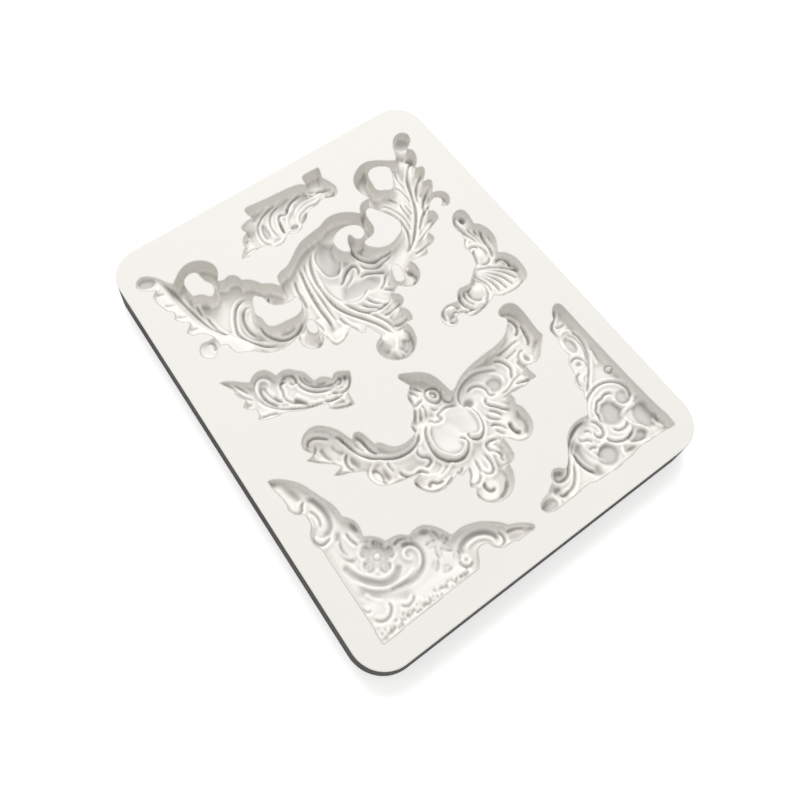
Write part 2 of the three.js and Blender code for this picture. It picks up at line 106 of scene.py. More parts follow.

# Rows of points round the slab's side. Those of the upper edge have a distance out from the edge's start,
# a distance down from the upper face and a tone. Those of the lower edge have a distance in from the
# slab's widest outline, a height above the underside and a tone. The tones paint shade onto the side.
UPPER_EDGE = ((0.16, 0.05, 0.95), (0.27, 0.18, 0.6), (0.32, 0.5, PAINTED_SIDE_LINE_SHADE))
LOWER_EDGE = ((0.02, 0.35, PAINTED_SIDE_LINE_SHADE), (0.12, 0.08, PAINTED_SIDE_LINE_SHADE), (0.4, 0.0, PAINTED_SIDE_SHADE))
SIDE_ROWS = 5  # of the plain wall between the two
SIDE_TOP = TOP - 0.9  # heights that this wall runs between
SIDE_BOTTOM = 0.4

# ---------------------------------------------------------------- the grid and lines on it

half_x = cad_hi.x / MM
half_y = cad_hi.y / MM
columns = int(2 * half_x / GRID) + 3
rows = int(2 * half_y / GRID) + 3
X0 = -GRID * (columns - 1) / 2 - LAYOUT_X
Y0 = -GRID * (rows - 1) / 2 - LAYOUT_Y
GX, GY = np.meshgrid(X0 + GRID * np.arange(columns), Y0 + GRID * np.arange(rows))


def smooth_line(points, closed=False, step=0.35, corner=52):
    """A smooth curve through the points. On a closed line, a turn over corner degrees stays a cusp."""
    p = np.array(points, float)
    chord = np.roll(p, -1, 0) - p
    if not closed:
        chord = chord[:-1]
    length = np.linalg.norm(chord, axis=1)
    way = chord / length[:, None]
    count = len(p)
    before = np.vstack([way[-1:], way]) if closed else np.vstack([way[:1], way])
    after = np.vstack([way, way[:1]]) if closed else np.vstack([way, way[-1:]])
    before, after = before[:count], after[:count]
    tangent = before + after
    tangent /= np.maximum(np.linalg.norm(tangent, axis=1), 1e-9)[:, None]
    turn = np.degrees(np.arccos(np.clip((before * after).sum(1), -1, 1)))
    cusp = (turn > corner)[:, None] if closed else np.zeros((count, 1), bool)
    leaving = np.where(cusp, after, tangent)
    arriving = np.where(cusp, before, tangent)
    line = []
    for k in range(len(chord)):
        a, b = p[k], p[(k + 1) % count]
        m0, m1 = leaving[k] * length[k], arriving[(k + 1) % count] * length[k]
        steps = max(1, int(round(length[k] / step)))
        t = (np.arange(steps) / steps)[:, None]
        line.append((2 * t**3 - 3 * t**2 + 1) * a + (t**3 - 2 * t**2 + t) * m0
                    + (3 * t**2 - 2 * t**3) * b + (t**3 - t**2) * m1)
    line.append(p[:1] if closed else p[-1:])
    return np.vstack(line)


def window(a, b, reach):
    """The slice of the grid within reach of the segment from a to b."""
    i0 = max(int((min(a[0], b[0]) - reach - X0) / GRID), 0)
    i1 = int((max(a[0], b[0]) + reach - X0) / GRID) + 2
    j0 = max(int((min(a[1], b[1]) - reach - Y0) / GRID), 0)
    j1 = int((max(a[1], b[1]) + reach - Y0) / GRID) + 2
    return slice(j0, j1), slice(i0, i1)


def measure(line, reach):
    """Distance to a line, its nearest point, the share of the way along it, and the side (left is +)."""
    dist = np.full(GX.shape, reach)
    foot_x, foot_y, along, side = (np.zeros(GX.shape) for _ in range(4))
    done = np.concatenate([[0], np.cumsum(np.linalg.norm(np.diff(line, axis=0), axis=1))])
    for k in range(len(line) - 1):
        a, b = line[k], line[k + 1]
        d = b - a
        square = d @ d
        if square < 1e-12:
            continue
        w = window(a, b, reach)
        x, y = GX[w], GY[w]
        t = np.clip(((x - a[0]) * d[0] + (y - a[1]) * d[1]) / square, 0, 1)
        qx, qy = a[0] + t * d[0], a[1] + t * d[1]
        far = np.hypot(x - qx, y - qy)
        m = far < dist[w]
        dist[w][m] = far[m]
        foot_x[w][m] = qx[m]
        foot_y[w][m] = qy[m]
        along[w][m] = ((done[k] + t * math.sqrt(square)) / done[-1])[m]
        side[w][m] = np.sign(d[0] * (y - a[1]) - d[1] * (x - a[0]))[m]
    return dist, foot_x, foot_y, along, side


def inside(line):
    """True at the grid points inside a closed line, by counting crossings along each row."""
    odd = np.zeros(GX.shape, bool)
    for a, b in zip(line[:-1], line[1:]):
        low, high = (a, b) if a[1] < b[1] else (b, a)
        j0 = max(int(math.ceil((low[1] - Y0) / GRID)), 0)
        j1 = int(math.ceil((high[1] - Y0) / GRID))
        for j in range(j0, min(j1, rows)):
            y = Y0 + GRID * j
            x = low[0] + (high[0] - low[0]) * (y - low[1]) / (high[1] - low[1])
            odd[j, : max(int(math.ceil((x - X0) / GRID)), 0)] ^= True
    return odd


# ---------------------------------------------------------------- outlines from the CAD nodes


def node_triangles(name):
    """The triangles of a CAD node as an (n, 3, 3) array in mm, about the middle of the layout."""
    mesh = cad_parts[name].data
    mesh.calc_loop_triangles()
    co = np.empty(len(mesh.vertices) * 3)
    mesh.vertices.foreach_get("co", co)
    corner = np.empty(len(mesh.loop_triangles) * 3, int)
    mesh.loop_triangles.foreach_get("vertices", corner)
    return co.reshape(-1, 3)[corner.reshape(-1, 3)] / MM - (LAYOUT_X, LAYOUT_Y, 0)


def rim_loops(name):
    """The closed rims of a cell's cavity and its islands, and the height of the cavity floor."""
    p = node_triangles(name)
    at_top = p[:, :, 2] > TOP - TOUCH
    lowest = p[:, :, 2].min(1)
    # a cavity's wall has an edge in the upper face and ends well above the underside
    wall = (at_top.sum(1) == 2) & (lowest > 1) & (lowest < TOP - 1)
    pairs = p[wall][at_top[wall]].reshape(-1, 2, 3)[:, :, :2].round(3)
    near = {}
    for a, b in pairs.tolist():
        near.setdefault(tuple(a), []).append(tuple(b))
        near.setdefault(tuple(b), []).append(tuple(a))
    found = []
    while near:
        here, loop = next(iter(near)), []
        while here is not None:
            loop.append(here)
            here = next((n for n in near.pop(here) if n in near), None)
        found.append(smooth_line(loop, closed=True))
    return found, float(lowest[wall].mean())


def slab_outline(inset):
    """The slab's rounded rectangle at its upper face, drawn in by inset."""
    tops = np.vstack([node_triangles(n).reshape(-1, 3) for n in sorted(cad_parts)])
    tops = tops[tops[:, 2] > TOP - TOUCH]
    hx = tops[:, 0].max() + LAYOUT_X - inset
    hy = tops[:, 1].max() + LAYOUT_Y - inset
    r = CORNER_RADIUS - inset
    line = []
    for quarter, (sx, sy) in enumerate(((1, 1), (-1, 1), (-1, -1), (1, -1))):
        for angle in np.radians(np.arange(0, 91, 2.5) + 90 * quarter):
            line.append((sx * (hx - r) + r * math.cos(angle), sy * (hy - r) + r * math.sin(angle)))
    line.append(line[0])
    return np.array(line) - (LAYOUT_X, LAYOUT_Y), hx, hy, r


# ---------------------------------------------------------------- strokes of the relief

relief = np.zeros(GX.shape)  # height above the cavity's own floor
lifted = np.zeros(GX.shape)  # how much shallower than its CAD cell a cavity is
rounded = np.zeros(GX.shape)  # 1 where the wall runs into the floor like the side of a bowl
pocket_shade = np.zeros(GX.shape)  # painted shade in a pocket or trough, up to 1


def hump(x, y, rx, ry=None, turn=0):
    """A smooth round hump, 1 at its middle and 0 at its edge."""
    ry = rx if ry is None else ry
    c, s = math.cos(math.radians(turn)), math.sin(math.radians(turn))
    u = ((GX - x) * c + (GY - y) * s) / rx
    v = ((GY - y) * c - (GX - x) * s) / ry
    return np.clip(1 - u * u - v * v, 0, 1)


def lift(height, x, y, rx, ry=None, turn=0):
    """Makes the cavity shallower round a point, walls and floor alike."""
    lifted[:] = np.maximum(lifted, height * np.clip(2 * hump(x, y, rx, ry, turn), 0, 1))


def shelve(height, run, *points, reach=12.0):
    """Makes the cavity shallower on the right of a line, by height from run away from it outwards."""
    dist, _, _, _, side = measure(smooth_line(points), reach)
    slope = np.clip(-dist * side / run, 0, 1) * (dist < reach)
    lifted[:] = np.maximum(lifted, height * slope * slope * (3 - 2 * slope))


def bulb(x, y, r, height=0.0):
    """A bowl-shaped end: the walls round into the floor, which is lifted by height."""
    rounded[:] = np.maximum(rounded, np.clip(2.5 * hump(x, y, r), 0, 1))
    lift(height, x, y, r)


def taper(along, share=0.16):
    """Fades a stroke out at both of its ends."""
    t = np.clip(np.minimum(along, 1 - along) / share, 0, 1)
    return t * t * (3 - 2 * t)


def rib(height, width, *points, ends=0.16):
    """A sharp raised line with hollow flanks, or a plain narrow crease where height is below zero."""
    reach = width * 4
    dist, _, _, along, _ = measure(smooth_line(points), reach)
    crest = np.exp(-((dist / (0.8 * width)) ** 2))
    if height > 0:
        crest = 0.5 * crest + 0.5 * np.exp(-dist / (1.3 * width)) * (1 - dist / reach)
    relief[:] += height * crest * taper(along, ends) * (dist < reach)


def vein(depth, width, *points, ends=0.16):
    """A fine crease with a soft ridge along each side of it."""
    reach = width * 7
    dist, _, _, along, _ = measure(smooth_line(points), reach)
    shape = 0.42 * np.exp(-(((dist - 2.6 * width) / (1.7 * width)) ** 2)) - np.exp(-((dist / width) ** 2))
    relief[:] += depth * shape * taper(along, ends) * (dist < reach)


def fold(height, run, *points, ends=0.12):
    """An overlapping edge: a sharp step up on the left of the line, easing back to the floor over run."""
    dist, _, _, along, side = measure(smooth_line(points), run)
    signed = dist * side
    step = np.clip(signed / STEP_WIDTH + 0.5, 0, 1)
    ease = np.clip(1 - np.maximum(signed, 0) / run, 0, 1) ** 2
    relief[:] += height * step * step * (3 - 2 * step) * ease * taper(along, ends) * (dist < run)


def bowl(depth, x, y, rx, ry=None, turn=0):
    """A round hollow in the floor, or a boss where depth is below zero."""
    relief[:] -= depth * hump(x, y, rx, ry, turn) ** 1.5


def pocket(depth, x, y, rx, ry=None, turn=0):
    """A hollow with a soft edge and a flat bottom darkened by painted shade, half of depth deep."""
    t = np.clip(1.9 * hump(x, y, rx, ry, turn), 0, 1)
    relief[:] -= 0.5 * depth * t * t * (3 - 2 * t)
    pocket_shade[:] = np.maximum(pocket_shade, min(depth, 1) * t)


def trough(depth, width, *points, ends=0.16):
    """A broad round-bottomed groove, darkened by painted shade like a pocket."""
    dist, _, _, along, _ = measure(smooth_line(points), width)
    shape = np.clip(1 - (dist / width) ** 2, 0, 1) * taper(along, ends)
    relief[:] -= depth * shape
    pocket_shade[:] = np.maximum(pocket_shade, min(depth, 1) * np.sqrt(shape))


def polar(x, y, radius, angle):
    """The point at that distance and angle from (x, y)."""
    return x + radius * math.cos(math.radians(angle)), y + radius * math.sin(math.radians(angle))


def circle(x, y, radius, start=0, turn=360, squash=1.0):
    """Points on an arc that turns that many degrees from start. Squash stretches it along Y."""
    count = max(6, int(abs(turn) / 24))
    flat = [polar(0, 0, radius, start + turn * k / count) for k in range(count + 1)]
    return [(x + u, y + v * squash) for u, v in flat]


def large_acanthus():
    shelve(5.6, 2.6, (-43.2, 58), (-43.6, 54), (-43, 50), (-42.2, 45), (-41, 41), (-39.4, 37.5),
           (-37.4, 34))
    shelve(2.6, 4.0, (44, 56), (43, 50), (40.5, 42.5), (38.5, 38), (36, 34.4), (32, 30), (28, 26.4))
    shelve(3.4, 3.4, (-34, 24.2), (-30, 21), (-26, 19.9), (-22, 20.4))
    lift(2.4, 46.5, 46, 3.4, 11.5, 8)
    lift(3.0, 37.5, 25.5, 8, 5, 40)
    lift(3.6, 45, 33, 3.6)
    lift(2.2, -8, 12.5, 8, 4)
    lift(3.0, 11.5, 9.4, 3.4, 6)
    bulb(-50, 60, 4.2, 3.6)
    bulb(49, 60, 4.2, 3.0)
    bulb(-18, 15.5, 4.4, 2.8)
    bulb(19, 16, 4.6, 2.6)
    bulb(3, 0, 7, 2.6)
    bulb(-45, 31.5, 3.8, 4.4)
    # left wing: stem, veins and the scroll round its eye
    vein(0.9, 0.3, (-43.6, 57), (-43.3, 53), (-42.9, 50), (-42.1, 46), (-41.3, 42), (-40.2, 38.6),
         (-38.4, 35), (-36, 31.4), (-33.2, 27.8), (-30, 24.6))
    vein(0.8, 0.3, (-39.4, 44), (-39.3, 40.6), (-38.8, 37.2), (-37.4, 34), (-35.4, 31))
    vein(1.3, 0.34, (-25.2, 41.8), (-27.6, 42), (-30, 41), (-32, 38.6), (-33.6, 35.4), (-34.3, 32.4),
         (-33.2, 29), (-31, 26), (-28.4, 23.6), (-25.6, 22.2))
    vein(0.7, 0.3, (-25.8, 38.6), (-28, 39), (-29.8, 37.4), (-30.8, 34.6), (-30.8, 31.4), (-29.6, 28.4))
    vein(1.1, 0.34, (-27.2, 31.6), (-27.3, 28.6), (-26, 25.2), (-23.6, 22.9), (-20.6, 22.2), (-18, 22.8),
         (-15.4, 24.8))
    vein(0.9, 0.3, (-30.4, 21.2), (-27.6, 20.1), (-24.4, 19.8), (-21.4, 20.4), (-18.4, 21.8))
    vein(0.9, 0.34, (-19.6, 38.4), (-20.9, 36.8), (-20.9, 34.8), (-19.6, 33.4), (-17.8, 33))
    vein(0.6, 0.28, (-39.3, 50.4), (-40.2, 47.6), (-40.4, 44.4))
    for x, y in ((-49.4, 56.6), (-48.6, 51.6), (-47.4, 46), (-46.6, 40.4)):
        rib(-0.7, 0.3, (x, y), (x + 1, y - 0.8), (x + 3.2, y - 1.5))
    bowl(0.5, -37.6, 47.5, 1.8, 4.4, -8)
    trough(0.6, 2.1, (-28.2, 39.4), (-30.4, 36.6), (-31.4, 32.6), (-30.6, 28.6), (-28.2, 25.6))
    rib(0.7, 0.35, (-43.2, 34), (-42, 31.6), (-42.3, 29.6), (-44, 28.4))
    # centre leaf: long ribs that run down into the fan, the spoon and the curled pocket
    vein(1.4, 0.4, (-5.8, 42), (-7, 37), (-8, 32), (-8.6, 26), (-8.7, 21), (-9.2, 16))
    vein(1.0, 0.34, (-9.6, 39), (-10.9, 34.6), (-11.2, 31), (-11.8, 27.4))
    vein(0.7, 0.3, (-3.4, 43), (-5.4, 38.4), (-6.2, 33), (-6.4, 28), (-6.6, 22), (-6.2, 18))
    vein(0.8, 0.3, (-12.6, 23), (-12.5, 20), (-12.2, 16.6))
    vein(1.1, 0.34, (1, 44.4), (-2, 41), (-3.8, 36), (-4.5, 31), (-4.5, 26), (-3.6, 22), (-1.4, 18),
         (1.4, 14), (3.8, 10), (5, 6), (4.9, 2.8))
    vein(0.8, 0.3, (-2.4, 25), (-0.6, 20.8), (2, 17), (4.6, 13.4), (6.4, 9.6), (7, 6))
    vein(0.9, 0.34, (-5.4, 20), (-4.7, 16.6), (-3.9, 13.6), (-2.9, 10.8))
    fold(1.5, 3.2, (8.6, 23.2), (7, 21.6), (4.6, 20.6), (2.2, 20.6), (-0.2, 21.9), (-2, 24.2),
         (-3.1, 26.8), (-3.5, 29.6), (-3.2, 33))
    trough(0.7, 2.8, (-0.4, 26.4), (2.6, 24.8), (6, 24.4), (10, 24), (13.6, 25.2))
    trough(0.8, 3.2, (7.4, 44.8), (4.4, 41.2), (2.4, 36.6), (1.8, 31.6))
    fold(1.4, 2.6, (6.8, 36.4), (4.8, 33.3), (2.8, 31.9), (0.8, 32.6), (-0.5, 35), (-0.8, 38.4), (0.2, 42),
         (2.8, 44.6))
    vein(1.2, 0.34, (0.9, 28.9), (2.6, 29.1), (4.6, 30.7), (6.6, 31.9), (9, 32.2), (9.7, 31), (9.1, 29.3),
         (7.9, 27.8))
    vein(0.6, 0.28, (2.8, 27.4), (5, 28.2), (7, 29.6))
    vein(1.1, 0.34, (8, 27.5), (10.8, 27.5), (13, 26.4), (15, 24.9), (15.9, 24))
    vein(0.9, 0.3, (10.4, 32.4), (11.4, 29.8), (13.2, 27.9), (15.4, 27), (18.2, 26.8), (21.4, 27.6))
    vein(0.9, 0.3, (15.4, 23.4), (13.6, 21.4), (11.4, 20.2))
    vein(0.7, 0.3, (11.8, 20), (13.4, 18.6), (15, 17))
    for shift in range(3):
        vein(0.9, 0.3, (0.4 + 2.4 * shift, 18.4 + 0.9 * shift), (3.2 + 2.2 * shift, 16 + 0.4 * shift),
             (7 + 1.8 * shift, 14.6 - 0.1 * shift), (10 + 0.9 * shift, 15.2))
    vein(0.8, 0.3, (6.6, 12.2), (9.4, 11.2), (12.6, 11.4))
    vein(0.8, 0.3, (7, 7.4), (9.2, 6.2), (11.6, 6))
    vein(1.0, 0.34, (-12.7, 15.6), (-12.7, 12.8), (-11.4, 11.4), (-8.6, 11.4), (-6, 13.2))
    trough(0.9, 1.9, *circle(4, 0.9, 4.8, 150, 230))
    trough(0.5, 1.7, (-0.8, 4.4), (0.1, 2.2), (1.1, 0.2))
    trough(0.8, 1.6, (6.8, 1.2), (5.6, -0.8), (3.6, -2.2))
    rib(0.8, 0.6, (4.9, 3.2), (3.5, 1), (2.2, -0.8), (2, -2.2), (3, -3.4))
    pocket(0.8, -49.6, 61.8, 3.6, 2.4, -25)
    trough(0.6, 1.2, *circle(-44.6, 31.2, 2.4, 80, -150))
    trough(0.7, 1.3, *circle(-18, 15.4, 2.9, 160, 190))
    trough(0.7, 1.3, *circle(19.2, 16.4, 3.2, -100, 170))
    pocket(0.5, 49.4, 60.4, 2.8, 2.8)
    # right wing
    vein(1.2, 0.34, (11.8, 40), (11.3, 36.6), (11.9, 33.4), (13.6, 30.8), (16, 29), (19, 28.2), (22, 28.6))
    vein(1.3, 0.34, (26.8, 43.8), (28.8, 41.4), (30, 38.4), (30.6, 35), (30.4, 31.4), (29, 28.6),
         (26.8, 26.4))
    vein(0.7, 0.3, (28.6, 45), (30.8, 41.8), (32, 38), (32.4, 34.6), (32, 31))
    vein(1.3, 0.34, (43, 50.4), (42, 46.6), (40.5, 42.5), (38.5, 38), (36.5, 35), (34, 32), (31.4, 29.4),
         (28.6, 27.2), (25, 25.7))
    vein(0.9, 0.3, (34.5, 41.8), (34, 38.6), (34.3, 35.2))
    vein(0.8, 0.3, (35.5, 41), (35.8, 38.6), (36.2, 36.6))
    vein(0.7, 0.28, (36.6, 48), (37.8, 46), (38.6, 43), (38.6, 40.4))
    vein(0.7, 0.28, (40.9, 53.4), (39.8, 50), (40.2, 46.4))
    vein(0.7, 0.28, (32.4, 45.4), (33.4, 43.4), (34, 42))
    for x, y in ((48.4, 53.4), (47, 46.4), (46, 41)):
        vein(0.9, 0.3, (x, y), (x - 2.4, y - 1.2), (x - 4.6, y - 3.4), (x - 6.4, y - 7))
    vein(0.9, 0.3, (45, 36.2), (41.6, 35.8), (39, 34.6), (36.4, 32.4), (34, 30.4))
    vein(0.8, 0.3, (40, 29.4), (37, 28.6), (34.4, 27.8), (31.4, 26.8))
    vein(0.8, 0.3, (33.6, 23.6), (30.6, 24.2), (28, 24.4))
    vein(0.7, 0.3, (29, 20.8), (26.4, 21.6), (24.4, 22.6))
    bowl(0.9, 17.4, 34.5, 2.4, 5, 12)
    rib(-0.9, 0.6, (16.4, 16.6), (17.6, 14.8), (19.6, 14.2), (21.6, 15.4))


def crest_leaf():
    lifted[:] = 1.0
    lift(3.2, -18, 55, 5, 7)
    lift(2.2, -2, 51, 12, 3.4)
    lift(4.8, -11.4, 62.6, 2.0)
    bulb(17.5, 57.5, 3.6, 1.8)
    # thin arched leaves that overlap towards the left
    vein(0.75, 0.26, (1, 65.6), (-2, 65.2), (-5, 64.4), (-7.2, 63.2), (-9.1, 61.3), (-10.2, 59),
         (-10.5, 56.9), (-10.3, 55.2), (-9.3, 53.6), (-7.8, 52.5))
    pocket(0.8, -8, 58.6, 1.2, 3.6, -12)
    vein(0.68, 0.26, (1.6, 64.6), (-1.6, 63.9), (-3.6, 62.5), (-4.9, 60.7), (-5.5, 58.6), (-5.6, 56.4),
         (-5.3, 53.8))
    vein(0.38, 0.23, (-7.5, 54.6), (-7.7, 55.8), (-7.2, 57.2), (-6.8, 58.8))
    vein(1.05, 0.3, (9.4, 64.1), (6.6, 63.8), (4.2, 63), (2.6, 61.8), (1.9, 60.8), (0.6, 60.6),
         (-0.6, 61.3), (-1.7, 60.3), (-2.3, 58.5), (-2.8, 56.6), (-3, 55), (-2.9, 53.8), ends=0.08)
    pocket(0.8, -2.5, 57, 0.7, 2.6, -8)
    pocket(0.7, 2, 61.7, 1.2, 0.8, 30)
    rib(0.8, 0.34, (7.8, 62.4), (5.4, 62.1), (3.6, 60.6), (1.4, 59.3), (0, 58), (-0.8, 56.2), (-1.1, 54.6))
    vein(0.75, 0.26, (-2.6, 53.9), (-1.2, 53.6), (0.2, 52.8), (1.6, 52.5), (3, 53.3), (3.8, 54.4))
    pocket(0.9, 0.9, 54.4, 1.6, 1.5)
    vein(0.68, 0.26, (3.3, 54.2), (3.8, 56), (5.2, 57.5), (7.2, 58.3), (9.4, 58.7), (11.6, 58.4),
         (13.6, 58.8), (15, 59.6))
    pocket(1.0, 5.6, 55.8, 2.6, 1.1, 36)
    rib(0.7, 0.34, (3, 57.6), (4.6, 59.4), (7, 60.6), (9.6, 61), (12, 60.8), (14, 61.2))
    vein(0.6, 0.26, (9.2, 57.2), (10.4, 56.7), (11.6, 57), (12.8, 57.8))
    pocket(0.7, 11.2, 57.7, 1.9, 0.8, 8)
    vein(0.6, 0.26, (9.8, 62.9), (11.6, 62.5), (12.8, 61.4), (14, 61.6), (15.6, 61.9), (17, 60.9))
    pocket(0.5, 11.4, 61.6, 1.6, 0.8, -14)
    rib(-0.7, 0.5, (9.6, 64), (12.6, 63.1), (15.6, 61.6), (17.8, 60), (18.8, 58.8))
    rib(-1.1, 0.4, (15.8, 59), (16.4, 57.9), (17.4, 57.3), (18.6, 57.4), (19.2, 58))
    # tip at the left
    vein(0.6, 0.26, (-19.8, 53.5), (-17.6, 53.7), (-15.4, 54), (-12.8, 54.4))
    pocket(0.7, -17.6, 54.8, 1.5, 0.8, 28)
    pocket(0.7, -15.2, 58.6, 0.8, 1.8, -18)
    vein(0.6, 0.26, (-8.6, 52), (-7.4, 51.3), (-5.8, 51.3), (-4.4, 52), (-3.6, 53))
    pocket(0.5, -6.4, 53.4, 1.6, 1.2, 6)


def leaf_scroll():
    lifted[:] = 2.1
    lift(3.0, -45.5, 12, 4.5, 9)
    lift(3.0, -42, 3.5, 4, 4)
    lift(2.4, -22, -6, 5, 3)
    lift(2.4, -36, 15.4, 4, 2)
    # leaf blades at the left
    vein(0.7, 0.3, (-46.8, 18.8), (-45.6, 16.4), (-44.9, 14), (-43.6, 11.6), (-41.8, 9.8))
    vein(0.5, 0.28, (-44.4, 17.6), (-43.4, 15), (-42.2, 12.4))
    pocket(0.5, -44.2, 9.4, 1.5, 0.6, -30)
    vein(0.8, 0.28, (-43.6, 4.3), (-42, 3.7), (-40.2, 3.3), (-38.2, 2.6))
    # the large curl and the grooves that follow it
    vein(1.0, 0.28, (-24.8, -2.2), (-27, -1.6), (-29.4, -1), (-31.8, 0.2), (-34.6, 1.8), (-37.2, 3.7),
         (-39.2, 5.8), (-40.2, 7.6), (-40.6, 9.6), ends=0.1)
    rib(1.2, 0.5, (-39.4, 8), (-40, 10.2), (-39.6, 12.4), (-38.4, 13.8), (-37, 14), (-35.8, 13),
        (-35.6, 11.6), (-36.5, 11))
    trough(0.6, 1.0, (-37, 12.4), (-38.5, 11), (-38.9, 8.4), (-38, 5.8), (-36.4, 4))
    trough(0.5, 0.7, (-36.2, 8.2), (-36.3, 5.8), (-35.2, 3.4))
    vein(0.8, 0.28, (-38.4, 12.8), (-39.2, 11.4), (-39.4, 9.4), (-38.8, 7.2), (-37.4, 5.2), (-35.4, 3.6),
         (-33, 2.2))
    vein(0.6, 0.28, (-37.3, 11.9), (-37.6, 10), (-37.2, 7.8), (-36, 5.8), (-34.4, 4.2))
    rib(0.7, 0.34, (-38.6, 9), (-38.2, 7), (-36.8, 5), (-34.6, 3.2))
    # middle leaf: a crisp hook, its pocket, and the wedge under it
    vein(0.9, 0.28, (-30.6, 10.4), (-31.4, 9.8), (-32.6, 10.2), (-33.4, 9), (-33.6, 7.4), (-34.2, 6),
         (-34, 4.6), (-33.2, 3.2), (-32, 2.2))
    rib(-0.9, 0.5, (-33, 9.6), (-31.8, 10.8), (-30, 11.4), (-28.6, 10.4), (-28.4, 9))
    vein(0.8, 0.28, (-30.2, 9), (-30, 7.9), (-29.2, 7.7), (-28.5, 8.6), (-28.7, 10))
    trough(0.7, 1.1, (-32.8, 3.4), (-30.9, 2), (-29.2, -0.4))
    fold(1.2, 2.4, (-32, 4.2), (-31, 3), (-30, 1.4), (-29, -0.4), (-27.4, -1.2))
    # right leaf: two long grooves that run out along the foot of the wall
    vein(1.0, 0.3, (-28.2, 9.4), (-28.5, 7.4), (-28.2, 5.4), (-27.2, 3.6), (-25.6, 2), (-23.4, 0.8),
         (-21, 0.2))
    vein(0.8, 0.28, (-26.9, 9.6), (-27.2, 7.6), (-26.6, 5.4), (-25.2, 3.6), (-23, 2.1), (-20.6, 1.3),
         (-18.2, 1.4), (-16.6, 2.2))
    rib(-0.7, 0.6, (-26, 8.6), (-26, 6.6), (-25, 4.8), (-23.2, 3.2), (-21, 2.4))
    rib(0.6, 0.34, (-24.4, -0.6), (-22.4, -0.8), (-20.4, -0.6), (-18.4, -0.8))
    pocket(0.5, -19.4, -1.2, 1.8, 0.7, -12)
    vein(1.2, 0.28, (-22, -0.9), (-20.8, -1.9), (-19, -2.6), (-17.2, -2.5), (-15.8, -1.6), (-14.8, -0.2),
         (-14.2, 1), ends=0.08)
    pocket(0.9, -16, 1.3, 1.6, 1.3, -30)
    vein(0.8, 0.3, (-17.8, 2.2), (-17.5, 0.9), (-18.2, 0.2), (-19.6, 0.4))
    vein(1.1, 0.32, (-25.2, -1.6), (-24, -2.6), (-22.4, -3.1), (-20.6, -3.3), (-18.8, -3.2))
    # flap under the leaf
    pocket(0.8, -21.8, -5.2, 2.4, 1.1, -14)
    vein(1.1, 0.3, (-25.2, -4.6), (-23.4, -5.8), (-21.6, -6.5), (-19.8, -7.1), (-18.5, -7), (-18, -5.8),
         (-18.2, -4.2))
    rib(0.6, 0.34, (-20.4, -4), (-20, -5.4), (-19.6, -6.4))


